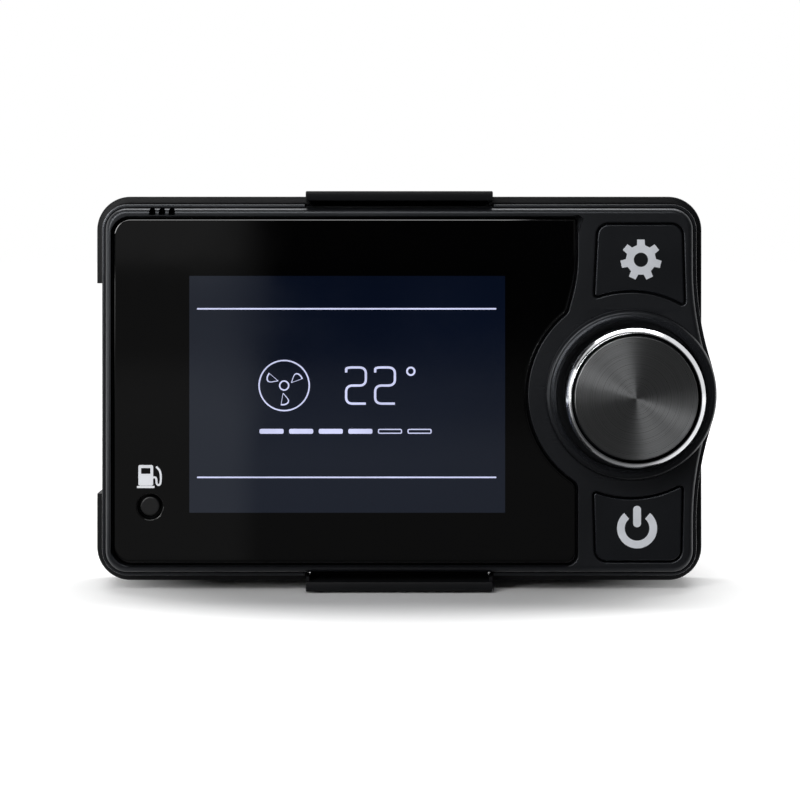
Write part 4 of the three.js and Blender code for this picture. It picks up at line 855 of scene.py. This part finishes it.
# The collar round the well: a quarter round up from the face, then a slope down into the well.
crest = FACE + COLLAR_RISE
collar = Shell()
collar_rise = quarter_round(14, COLLAR_CREST, FACE, COLLAR_FOOT - COLLAR_CREST, COLLAR_RISE)
collar_section = [
    (WELL_R, WELL_FLOOR - 0.3),
    (WELL_R, crest - COLLAR_DROP - 0.14),
    (WELL_R + 0.06, crest - COLLAR_DROP - 0.02),
    (WELL_R + 0.2, crest - COLLAR_DROP + 0.12),
    ((COLLAR_CREST + WELL_R) / 2, crest - COLLAR_DROP / 4 - 0.06),
    (COLLAR_CREST - 0.12, crest - 0.01),
    # The collar's rise carries edge wear and a painted highlight.
    *[(*row, 0.9) for row in collar_rise[::-1]],
    (COLLAR_FOOT, LIP - 0.1),
    (WELL_R + 0.85, LIP - 0.1),
    (WELL_R + 0.85, WELL_FLOOR - 0.3),
]
hoop(collar, collar_section, KNOB_X, KNOB_Z)
carved(housing, collar, "UNION")

# Openings in the rim: three pointed vents, a relief for each grip bar and a pocket for each hook.
openings = Shell()
for vent_x in VENT_X:
    t = np.linspace(0, HALF, 13)
    across = vent_x + VENT_HALF * np.cos(t)
    tip = np.stack([across, VENT_TOP - 0.85 + 0.85 * np.sin(t) ** 1.3], axis=1)
    foot = [[vent_x - VENT_HALF, VENT_TOP - 1.45], [vent_x + VENT_HALF, VENT_TOP - 1.45]]
    prism(openings, np.concatenate([foot, tip]), VENT_BACK, FACE + 1)
for end in (-1, 1):
    relief_half = ARM_HALF + 0.3
    far = end * (HALF_HEIGHT + 1)
    relief = sorted((end * (HALF_HEIGHT - LIP_IN), far))
    block(openings, -relief_half, relief_half, FLARE_BACK, FACE + 1, *relief)
    pocket = sorted((end * (HALF_HEIGHT - 0.9), far))
    block(openings, -HOOK_HALF - 0.5, HOOK_HALF + 0.5, 10.9, 14.3, *pocket)
carved(housing, openings)

# Pilot holes, the vents' ducts to the inside, the pry notch at the lens's corner and the scoop.
drilled = Shell()
for boss_x, boss_z in SCREW_PLACES:
    tube(drilled, PILOT_R, HOUSING_BACK - 1, DECK_BACK - 0.8, boss_x, boss_z, 32)
for vent_x in VENT_X:
    duct = (HALF_HEIGHT - WALL - 1, VENT_TOP - 0.4)
    block(drilled, vent_x - VENT_HALF, vent_x + VENT_HALF, VENT_BACK - 0.1, 15.6, *duct)
pry_notch = np.array([[-0.85, 0.2], [-0.85, -2.9], [0.1, -2.9], [0.95, -0.43], [0.1, 0.25]])
prism(drilled, pry_notch + [LENS_RIGHT, LENS_TOP], LENS_BACK, FACE + 0.5)
scoop_right = -HALF_WIDTH + 1.6
block(drilled, -HALF_WIDTH - 1, scoop_right, HOUSING_BACK - 1, HOUSING_BACK + 0.001, -15, 15)
carved(housing, drilled)

# ---- Lens with its picture area ----

picture_area = picture_box(CELL_MARGIN, 0.05)


def lens_shell():
    """The black window: its polished edge is an arc that leans 30 degrees at most, and the prime
    button's hole is chamfered. The picture area is a part of its front."""
    shell = Shell()
    g = LENS_GAP
    lean = np.radians(np.linspace(30, 0, 9))
    heights = LENS_FRONT - LENS_SOFT * (1 - np.cos(lean))
    insets = g + 0.12 + LENS_SOFT * (0.5 - np.sin(lean))
    polished = [(height, lens_outline(inset)) for height, inset in zip(heights, insets)]
    rear, front = shell.wall(
        [
            (LENS_BACK, lens_outline(g)),
            (LENS_FRONT - 0.34, lens_outline(g)),
            (LENS_FRONT - 0.26, lens_outline(g + 0.02)),
            (LENS_FRONT - 0.19, lens_outline(g + 0.07)),
            *polished,
            (LENS_FRONT, lens_outline(g + 0.18 + LENS_SOFT / 2)),
        ]
    )
    drops = [(LENS_FRONT - LENS_BACK, 0), (0.3, 0), (0.22, 0.03), (0.04, 0.22), (0, 0.3), (0, 0.36)]
    hole = [
        (LENS_FRONT - drop, circle(PRIME_HOLE + wider, PRIME_X, PRIME_Z, 96))
        for drop, wider in drops
    ]
    hole_rear, hole_front = shell.wall(hole, inward=True)
    edge = shell.ring(picture_area, LENS_FRONT)
    shell.cap([front, hole_front, edge])
    shell.cap([edge], mark=1)
    shell.cap([rear, hole_rear], front=False)
    return shell


lens = placed(
    lens_shell().mesh("lens_finished"),
    "lens_finished",
    "panel",
    [looks["lens_gloss"], picture],
    sharp=50,
)
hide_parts("lens_glass")

# ---- Keys, button and their signs ----

INK = 0.02


def key_piece(name, shape, node, body):
    """A key: a flange that holds it behind the face, a cap with a rounded edge, and a flat stem."""
    shell = Shell()
    flange_front = FACE_BACK - 0.3
    angle = np.linspace(0, QUARTER, 6)
    # The key's rounded edge carries edge wear and a painted highlight, most halfway round.
    edge = [
        (FACE - 0.25 * (1 - np.sin(a)), shape(0.25 * (1 - np.cos(a))), np.sin(2 * a)) for a in angle
    ]
    rear, front = shell.wall(
        [
            (flange_front - 0.6, shape(-KEY_FLANGE)),
            (flange_front, shape(-KEY_FLANGE)),
            (flange_front, shape(0)),
            *edge,
            (FACE, shape(0.32)),
        ]
    )
    shell.cap([front])
    shell.cap([rear], front=False)
    low, high = mm_box(node)
    x, z = (low[0] + high[0]) / 2, (low[2] + high[2]) / 2
    block(shell, x - 2, x + 2, low[1], flange_front - 0.3, z - 0.6, z + 0.6)
    mesh = shell.mesh(name)
    piece = placed(mesh, name, body, [looks["key_plastic"]])
    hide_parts(node)


key_piece("settings_key_finished", gear_key, "settings_key", "settings_button")
key_piece("power_key_finished", power_key, "power_key", "power_button")


def print_on(name, loops, depth, body, material):
    """A printed sign: the first loop is its edge and the others are holes, as a plate of ink."""
    shell = Shell()
    rears, fronts = [], []
    for index, loop in enumerate(loops):
        rear, front = shell.wall([(depth + 0.003, loop), (depth + INK, loop)], inward=index > 0)
        rears.append(rear)
        fronts.append(front)
    shell.cap(fronts)
    shell.cap(rears, front=False)
    return placed(shell.mesh(name), name, body, [material])


def gear_sign(x, z, outer=3.75, root=2.75, teeth=7, first=90.0):
    """A toothed wheel: for each tooth two points on the root circle and two on the outer one."""
    pitch = 360.0 / teeth
    steps = np.array([-0.30, -0.20, 0.20, 0.30])
    radii = np.array([root, outer, outer, root])
    angle = np.radians(first + pitch * (np.arange(teeth)[:, None] + steps)).ravel()
    radius = np.tile(radii, teeth)
    return np.stack([x + radius * np.cos(angle), z + radius * np.sin(angle)], axis=1)


def open_ring(x, z, outer, inner, gap):
    """A ring with a gap at its top, as one outline: there on the outer arc, back on the inner."""
    there = np.linspace(QUARTER + gap, 5 * QUARTER - gap, 80)
    away = np.stack([x + outer * np.cos(there), z + outer * np.sin(there)], axis=1)
    back = np.stack([x + inner * np.cos(there), z + inner * np.sin(there)], axis=1)[::-1]
    return np.concatenate([away, back])


GEAR_X, GEAR_Z = KNOB_X + 1.8, 23.8
gear_loops = [gear_sign(GEAR_X, GEAR_Z), circle(1.3, GEAR_X, GEAR_Z, 48)]
print_on("settings_sign", gear_loops, FACE, "settings_button", symbol_ink_painted_glow)
POWER_X, POWER_Z = KNOB_X + 1.1, -25.1
ring_loop = open_ring(POWER_X, POWER_Z, 3.65, 2.25, np.radians(40))
bar_loop = rectangle(POWER_X - 0.72, POWER_X + 0.72, POWER_Z + 0.2, POWER_Z + 4.1, 0.7)
print_on("power_sign_ring", [ring_loop], FACE, "power_button", symbol_ink_painted_glow)
print_on("power_sign_bar", [bar_loop], FACE, "power_button", symbol_ink_painted_glow)

prime_r = 1.775
prime_front = prime_high[1]
prime_piece = turned(
    "prime_button_finished",
    [
        (0.01, prime_low[1]),
        (1.2, prime_low[1]),
        (1.2, DECK_BACK - 0.9),
        (prime_r + 1, DECK_BACK - 0.9),
        (prime_r + 1, DECK_BACK - 0.3),
        (prime_r, DECK_BACK - 0.3),
        *quarter_round(8, prime_r - 0.3, prime_front - 0.3, 0.3, 0.3),
        (prime_r - 0.4, prime_front),
        (0.01, prime_front),
    ],
    PRIME_X,
    PRIME_Z,
    "prime_push",
    [button_plastic],
    segments=96,
)
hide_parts("prime_button")


def stroke(points, width):
    """The outline of a line of a given width along points, with square ends."""
    points = np.asarray(points, float)
    along = np.gradient(points, axis=0)
    along /= np.linalg.norm(along, axis=1)[:, None]
    across = np.stack([-along[:, 1], along[:, 0]], axis=1) * width / 2
    return np.concatenate([points - across, (points + across)[::-1]])


def bent(points, share=0.5):
    """A path of straight runs whose corners are rounded by quadratic curves. A curve starts and
    ends at a share of the runs that it joins."""
    points = np.asarray(points, float)
    t = np.linspace(0, 1, 10)[:, None]
    path = [points[:1]]
    for a, b, c in zip(points[:-2], points[1:-1], points[2:]):
        start, end = b + (a - b) * share, b + (c - b) * share
        path.append((1 - t) ** 2 * start + 2 * t * (1 - t) * b + t**2 * end)
    path.append(points[-1:])
    whole = np.concatenate(path)
    kept = np.linalg.norm(np.diff(whole, axis=0, prepend=whole[:1] - 1), axis=1) > 1e-6
    return whole[kept]


# The fuel pump sign over the button: a cabinet with a window, a foot, and a hose with its nozzle.
PUMP_X, PUMP_Z = PRIME_X - 0.75, PRIME_Z + 5.5
hose = bent(
    [
        (PUMP_X + 1.35, PUMP_Z - 0.2),
        (PUMP_X + 1.95, PUMP_Z - 0.2),
        (PUMP_X + 1.95, PUMP_Z - 1.6),
        (PUMP_X + 2.75, PUMP_Z - 1.6),
        (PUMP_X + 2.75, PUMP_Z + 0.9),
        (PUMP_X + 1.9, PUMP_Z + 1.75),
    ]
)
pump_parts = {
    "pump_sign_cabinet": [
        rectangle(PUMP_X - 1.35, PUMP_X + 1.35, PUMP_Z - 1.7, PUMP_Z + 2.05, 0.3),
        rectangle(PUMP_X - 0.85, PUMP_X + 0.85, PUMP_Z + 0.45, PUMP_Z + 1.5, 0.08),
    ],
    "pump_sign_foot": [rectangle(PUMP_X - 1.6, PUMP_X + 1.6, PUMP_Z - 2.15, PUMP_Z - 1.75, 0.05)],
    "pump_sign_hose": [stroke(hose, 0.36)],
}
for sign_name, sign_loops in pump_parts.items():
    print_on(sign_name, sign_loops, LENS_FRONT, "panel", pump_ink_painted_glow)

# ---- Knob ----

ring_r = ring_high[0] - KNOB_X
ring_front = ring_high[1]
ring_inner = ring_r - 0.95
bevel_low = ring_front - 0.95
ring_piece = turned(
    "knob_ring_finished",
    [
        (ring_inner, ring_low[1]),
        (ring_r - 0.3, ring_low[1]),
        *quarter_round(5, ring_r - 0.3, ring_low[1] + 0.3, 0.3, 0.3, -QUARTER, 0)[1:],
        (ring_r, bevel_low - 0.2),
        (ring_r - 0.015, bevel_low - 0.09),
        (ring_r - 0.06, bevel_low),
        (ring_inner + 0.2, ring_front - 0.1),
        (ring_inner + 0.12, ring_front - 0.03),
        (ring_inner + 0.06, ring_front - 0.02),
        (ring_inner, ring_front - 0.08),
    ],
    KNOB_X,
    KNOB_Z,
    "knob",
    [looks["chrome"]],
    around=True,
)
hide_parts("knob_ring")

cap_r = (cap_high[0] - cap_low[0]) / 2
shares = np.linspace(0.98, 0.0015, 24)
dished = list(zip(cap_r * shares, KNOB_TOP - 0.05 * (1 - shares**2)))
cap_piece = turned(
    "knob_cap_finished",
    [
        (0.01, cap_low[1]),
        (cap_r, cap_low[1]),
        (cap_r, KNOB_TOP - 0.2),
        (cap_r - 0.04, KNOB_TOP - 0.08),
        (cap_r - 0.16, KNOB_TOP),
        *dished,
    ],
    KNOB_X,
    KNOB_Z,
    "knob",
    [looks["spun_aluminium"]],
)
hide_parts("knob_cap")

# ---- Display picture: two rules, a fan, a temperature and a row of power steps ----

PICTURE_X = (picture_area[:, 0].min() + picture_area[:, 0].max()) / 2
PICTURE_Z = (picture_area[:, 1].min() + picture_area[:, 1].max()) / 2
LINE = 0.28


def lit(name, loops):
    """A lit line of the display, on the lens's front over the picture area."""
    print_on(name, loops, LENS_FRONT, "panel", lit_line)


for rule_name, rule_z in (("upper_rule", PICTURE_Z + 15.6), ("lower_rule", PICTURE_Z - 15.15)):
    low, high = rule_z - LINE / 2, rule_z + LINE / 2
    lit(rule_name, [rectangle(PICTURE_X - 27.4, PICTURE_X + 27.2, low, high, 0.1)])

FAN_X, FAN_Z, FAN_R = PICTURE_X - 11.5, PICTURE_Z + 1.6, 4.7
lit("fan_rim", [circle(r, FAN_X, FAN_Z) for r in (FAN_R, FAN_R - 0.26)])
lit("fan_hub", [circle(r, FAN_X, FAN_Z, 64) for r in (0.95, 0.69)])
for blade in range(3):
    blade_angle = np.radians(20 + 120 * blade)
    t = np.linspace(0, HALF, 40)
    radial = 1.35 + 1.15 * (1 - np.cos(t))
    swept = blade_angle + 0.52 * np.sin(t) * np.linspace(0.5, 1.3, 40)
    leading = np.stack([radial * np.cos(swept), radial * np.sin(swept)], axis=1)
    trailing = np.stack([radial * np.cos(blade_angle), radial * np.sin(blade_angle)], axis=1)
    petal = np.concatenate([leading, trailing[::-1][1:-1]])
    centre = petal.mean(axis=0)
    inner = centre + (petal - centre) * 0.78
    lit(f"fan_blade_{blade}", [petal + [FAN_X, FAN_Z], inner + [FAN_X, FAN_Z]])

DIGIT_WIDE, DIGIT_TALL = 3.6, 6.6
TWO = np.array([(0, 0.86), (0, 1), (1, 1), (1, 0.5), (0, 0.5), (0, 0), (1, 0)])
for digit in range(2):
    corner_x, corner_z = PICTURE_X - 0.2 + digit * 5.3, FAN_Z - DIGIT_TALL / 2
    path = bent(TWO * [DIGIT_WIDE, DIGIT_TALL] + [corner_x, corner_z], 0.35)
    lit(f"temperature_digit_{digit}", [stroke(path, 0.42)])
DEGREE_X, DEGREE_Z = PICTURE_X + 11.6, FAN_Z + DIGIT_TALL / 2 - 0.7
lit("temperature_degree", [circle(r, DEGREE_X, DEGREE_Z, 64) for r in (0.85, 0.52)])
for step in range(6):
    left = PICTURE_X - 16.0 + step * 5.4
    low, high = PICTURE_Z - 7.2, PICTURE_Z - 6.3
    bar = [rectangle(left, left + 4.4, low, high, 0.3)]
    if step > 3:
        bar.append(rectangle(left + 0.2, left + 4.2, low + 0.2, high - 0.2, 0.15))
    lit(f"power_step_{step}", bar)

# ---- Cradle ----


def cradle_outline(inset=0.0):
    return panel(inset - CRADLE_OUT)


def cradle_shell():
    """The tray round the panel: a plate with a cable aperture and countersunk holes, and a rim
    that ends in rounded edges."""
    shell = Shell()
    angle = np.linspace(0, QUARTER, 7)
    rim_low = CRADLE_RIM - 0.22
    back_r, front_r = 0.5, 0.35
    back_round = [
        (back_r * (1 - np.cos(a)), cradle_outline(back_r * (1 - np.sin(a)))) for a in angle[1:]
    ]
    # The front round and the rim's edge carry edge wear and a painted highlight.
    front_round = [
        (
            rim_low - front_r * (1 - np.sin(a)),
            cradle_outline(front_r * (1 - np.cos(a))),
            np.sin(2 * a),
        )
        for a in angle[:-1]
    ]
    rear, rim_out = shell.wall(
        [
            (0, cradle_outline(back_r)),
            *back_round,
            *front_round,
            (CRADLE_RIM - 0.02, cradle_outline(1.05), 0.2),
            (CRADLE_RIM, cradle_outline(1.25), 0.5),
            (CRADLE_RIM - 0.06, cradle_outline(1.4), 0.5),
            (CRADLE_RIM - 0.2, cradle_outline(RIM_WALL)),
        ]
    )
    inside = cradle_outline(RIM_WALL)
    levels = [(CRADLE_PLATE, inside), (CRADLE_RIM - 0.2, inside)]
    floor_edge, rim_in = shell.wall(levels, inward=True)
    shell.add(np.stack([rim_out, np.roll(rim_out, -1), np.roll(rim_in, -1), rim_in], axis=1))
    socket_z = -HALF_HEIGHT + 14.15
    wide, tall = CABLE_HALF_WIDTH, CABLE_HALF_HEIGHT
    cable = rectangle(-wide, wide, socket_z - tall, socket_z + tall, 2)
    wide, tall = wide + 0.3, tall + 0.3
    broken = rectangle(-wide, wide, socket_z - tall, socket_z + tall, 2.3)
    holes = [[(0, broken), (0.3, cable), (CRADLE_PLATE, cable)]]
    countersink = [(0, 1.9), (0.5, 1.9), (CRADLE_PLATE - 0.1, 3.5), (CRADLE_PLATE, 3.5)]
    for side in (-1, 1):
        for end in (-1, 1):
            place = (side * (HALF_WIDTH - 10.05), end * (HALF_HEIGHT - 9.65))
            holes.append([(depth, circle(radius, *place, 64)) for depth, radius in countersink])
    rears, fronts = zip(*[shell.wall(levels, inward=True) for levels in holes])
    shell.cap([rear, *rears], front=False)
    shell.cap([floor_edge, *fronts])
    return shell


cradle = placed(
    cradle_shell().mesh("mounting_cradle_finished"),
    "mounting_cradle_finished",
    "panel",
    [cradle_plastic],
)
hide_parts("mounting_cradle")

# The finger notch in the left rim, and a slit on either side of each snap arm.
gaps = Shell()
block(gaps, cradle_low[0] - 1, -HALF_WIDTH + 1, 5.0, CRADLE_RIM + 1, -19.4, 19.4)
for end in (-1, 1):
    rim = sorted((end * (HALF_HEIGHT - 1), end * (HALF_HEIGHT + CRADLE_OUT + 1)))
    for left in (-ARM_HALF, ARM_HALF - ARM_SLIT):
        block(gaps, left, left + ARM_SLIT, CRADLE_PLATE, CRADLE_RIM + 1, *rim)
carved(cradle, gaps)

# Snap arms: a blade that ramps outwards, a rounded grip bar, a hook, and a cheek at each end.
blades, bars, hooks, cheeks = Shell(), Shell(), Shell(), Shell()
for end, proud in ((1, cradle_high[2]), (-1, -cradle_low[2])):
    rim_inside = HALF_HEIGHT + CRADLE_FIT
    rim_outside = HALF_HEIGHT + CRADLE_OUT
    bar_low = proud - ARM_BAR
    flip = [1, end]
    ramp = [
        (1.0, rim_inside),
        (1.0, rim_outside),
        (ARM_BACK - 2.5, rim_outside),
        (ARM_BACK, proud - 0.01),
        (ARM_BACK + 1, proud - 0.01),
        (ARM_BACK + 1, bar_low + 0.05),
        (ARM_BACK - 1, rim_inside),
    ]
    blade_half = ARM_HALF - ARM_SLIT
    sideways(blades, np.array(ramp) * flip, -blade_half, blade_half)
    front_edge = quarter_round(9, ARM_FRONT - ARM_ROUND, proud - ARM_ROUND, ARM_ROUND, ARM_ROUND)
    bar = [(ARM_BACK, proud), *front_edge[::-1], (ARM_FRONT, bar_low + 0.15)]
    bar += [(ARM_FRONT - 0.05, bar_low + 0.04), (ARM_FRONT - 0.15, bar_low), (ARM_BACK, bar_low)]
    sideways(bars, np.array(bar) * flip, -ARM_HALF, ARM_HALF, 0.14)
    hook_tip = HALF_HEIGHT - 0.6
    hook = [(11.4, rim_inside + 0.2), (11.4, hook_tip), (12.2, hook_tip), (13.8, rim_inside + 0.2)]
    sideways(hooks, np.array(hook) * flip, -HOOK_HALF, HOOK_HALF)
    reach = sorted((end * rim_inside, end * (bar_low + 0.1)))
    for left in (-ARM_HALF + 0.02, blade_half):
        block(cheeks, left, left + ARM_SLIT - 0.02, ARM_BACK, ARM_FRONT - 1.5, *reach)
for solids in (blades, bars, hooks, cheeks):
    carved(cradle, solids, "UNION")

# ---- The rear shell, the connector and the knob's core keep their CAD shape, merged and shaded smooth ----

shown_plain = {
    "rear_shell": looks["housing_plastic"],
    "rear_connector": looks["white_plastic"],
    "knob_core": looks["key_plastic"],
}
for node_name, plain_finish in shown_plain.items():
    smoothed(node_name, plain_finish)

# ---- Studio ----

scene = bpy.context.scene
scene.view_settings.view_transform = "Standard"

FLOOR_Z = cradle_low[2] * MM - 0.0003


def seen_paths(tree):
    """1 for the rays that see the background: the camera's, and then those of gloss and glass."""
    path = tree.nodes.new("ShaderNodeLightPath").outputs
    mirrored = maths(tree, "MAXIMUM", path["Is Glossy Ray"], path["Is Transmission Ray"])
    return path["Is Camera Ray"], mirrored


def floor_material():
    """A white floor that keeps soft shadows. Direct views get a lift that is 0 under the object and
    grows to full white far from it. In reflections and bounced light the floor in front of the
    object is darker than it looks. Gloss and glass also see painted reflections on it there, a glow
    near the object and at its left, and a brighter one beyond that, which the lens mirrors."""
    material, tree, shader = new_surface("white floor")
    shader.inputs["Roughness"].default_value = 0.9
    shader.inputs["Specular IOR Level"].default_value = 0.0
    where = place_on(tree)
    parts = add_node(tree, "ShaderNodeSeparateXYZ", None, Vector=where).outputs
    direct, mirrored = seen_paths(tree)
    behind = spread(tree, parts["Y"], -0.035, -0.015, smooth=True)
    white = maths(tree, "MAXIMUM", direct, behind)
    # u is the slope, sideways, of the lines that meet where the camera's mirror image stands.
    u = maths(tree, "DIVIDE", parts["X"], maths(tree, "SUBTRACT", 0.4, parts["Y"]))
    # Painted reflections: a glow that only gloss and glass rays see, placed where the lens mirrors
    # the floor.
    at_left = spread(tree, u, -0.075, -0.052, 0.12, 0.0, smooth=True)
    near_object = spread(tree, parts["Y"], -0.5, -0.25, 0.0, 0.045, smooth=True)
    painted_bright_reflection = times(tree, spread(tree, u, -0.9, -0.8), spread(tree, u, -0.5, -0.4, 4.0, 0.0))
    painted_reflection = maths(tree, "MAXIMUM", maths(tree, "MAXIMUM", at_left, near_object), painted_bright_reflection)
    painted_reflection = times(tree, painted_reflection, spread(tree, parts["Y"], -0.065, -0.045, 1.0, 0.0), mirrored)
    albedo = spread(tree, white, 0.0, 1.0, 0.06, 0.86)
    tree.links.new(scaled(tree, (1, 1, 1), albedo), shader.inputs["Base Color"])
    reach = length_of(tree, where)
    close_lift = spread(tree, reach, 0.05, 0.08, 0.0, 0.5, smooth=True)
    lift = maths(tree, "ADD", close_lift, spread(tree, reach, 0.12, 0.4, 0.0, 0.5))
    seen = maths(tree, "MAXIMUM", direct, times(tree, mirrored, behind))
    strength = maths(tree, "ADD", times(tree, lift, seen), painted_reflection)
    glow = add_node(tree, "ShaderNodeEmission", None, Strength=strength).outputs["Emission"]
    both = tree.nodes.new("ShaderNodeAddShader")
    tree.links.new(shader.outputs["BSDF"], both.inputs[0])
    tree.links.new(glow, both.inputs[1])
    tree.links.new(both.outputs["Shader"], tree.nodes["Material Output"].inputs["Surface"])
    return material


def floor():
    reach = 6.0
    corners = [(-reach, -reach), (reach, -reach), (reach, reach), (-reach, reach)]
    mesh = bpy.data.meshes.new("floor")
    mesh.from_pydata([(x, y, FLOOR_Z) for x, y in corners], [], [(0, 1, 2, 3)])
    mesh.materials.append(floor_material())
    piece = bpy.data.objects.new("floor", mesh)
    scene.collection.objects.link(piece)
    piece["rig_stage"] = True


floor()


def studio_world():
    """A soft studio. It is white where it is seen directly, and behind the object also in gloss and
    glass. The room that lights the object is dim, and has a grey wall on the left of the camera and
    a black screen on its right, which the lens mirrors."""
    world = bpy.data.worlds.new("studio")
    scene.world = world
    world.use_nodes = True
    tree = world.node_tree
    where = tree.nodes.new("ShaderNodeTexCoord").outputs["Generated"]
    parts = add_node(tree, "ShaderNodeSeparateXYZ", None, Vector=where).outputs
    ahead = maths(tree, "MAXIMUM", times(tree, parts["Y"], -1.0), 0.05)
    u = maths(tree, "DIVIDE", parts["X"], ahead)
    v = maths(tree, "DIVIDE", parts["Z"], ahead)
    off_axis = maths(tree, "ADD", maths(tree, "POWER", u, 2.0), maths(tree, "POWER", v, 2.0))
    narrow = spread(tree, off_axis, 0.04, 0.1, 1.0, 0.0, smooth=True)
    at_left = spread(tree, u, -0.085, -0.05, 1.0, 0.0, smooth=True)
    wall = times(tree, at_left, spread(tree, v, -0.07, 0.0, smooth=True), narrow, 0.12)
    room = maths(tree, "ADD", spread(tree, off_axis, 0.04, 0.16, 0.16, 0.10, smooth=True), wall)
    at_right = spread(tree, u, -0.075, -0.052, smooth=True)
    screen = times(tree, at_right, spread(tree, v, -0.13, -0.02, smooth=True), narrow)
    room = times(tree, room, spread(tree, screen, 0.0, 1.0, 1.0, 0.06))
    direct, mirrored = seen_paths(tree)
    behind = spread(tree, parts["Y"], 0.0, 0.1)
    white = maths(tree, "MAXIMUM", direct, times(tree, mirrored, behind))
    dim = times(tree, room, maths(tree, "SUBTRACT", 1.0, white))
    strength = maths(tree, "ADD", dim, white)
    background = tree.nodes["Background"]
    background.inputs["Color"].default_value = (1, 1, 1, 1)
    tree.links.new(strength, background.inputs["Strength"])


studio_world()


def softbox(name, place, size, radiance):
    """A rectangular lamp at a place, in metres, turned to the object. Its power is pi times its
    area times the radiance that it shows."""
    lamp = bpy.data.lights.new(name, "AREA")
    lamp.shape = "RECTANGLE"
    lamp.size, lamp.size_y = size
    lamp.energy = np.pi * size[0] * size[1] * radiance
    piece = bpy.data.objects.new(name, lamp)
    piece.location = place
    piece.rotation_euler = (-Vector(place)).to_track_quat("-Z", "Y").to_euler()
    scene.collection.objects.link(piece)


softbox("softbox_top", (0.0, 0.2, 0.75), (0.9, 0.22), 6.8)
softbox("softbox_left", (-0.85, -0.06, 0.14), (0.4, 0.5), 1.8)
softbox("strip_top_front", (-0.16, -0.66, 0.45), (0.5, 0.16), 8.0)
softbox("strip_left_front", (-0.42, -0.66, 0.22), (0.16, 0.28), 13.0)

camera_data = bpy.data.cameras.new("camera")
camera_data.lens = 103.8
camera_data.sensor_width = 36.0
camera_data.shift_y = -0.20
camera_data.clip_end = 50.0
camera = bpy.data.objects.new("camera", camera_data)
camera.location = (0.00013, -0.44, 0.0274)
camera.rotation_euler = (QUARTER, 0, 0)
scene.collection.objects.link(camera)
scene.camera = camera

low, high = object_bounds()
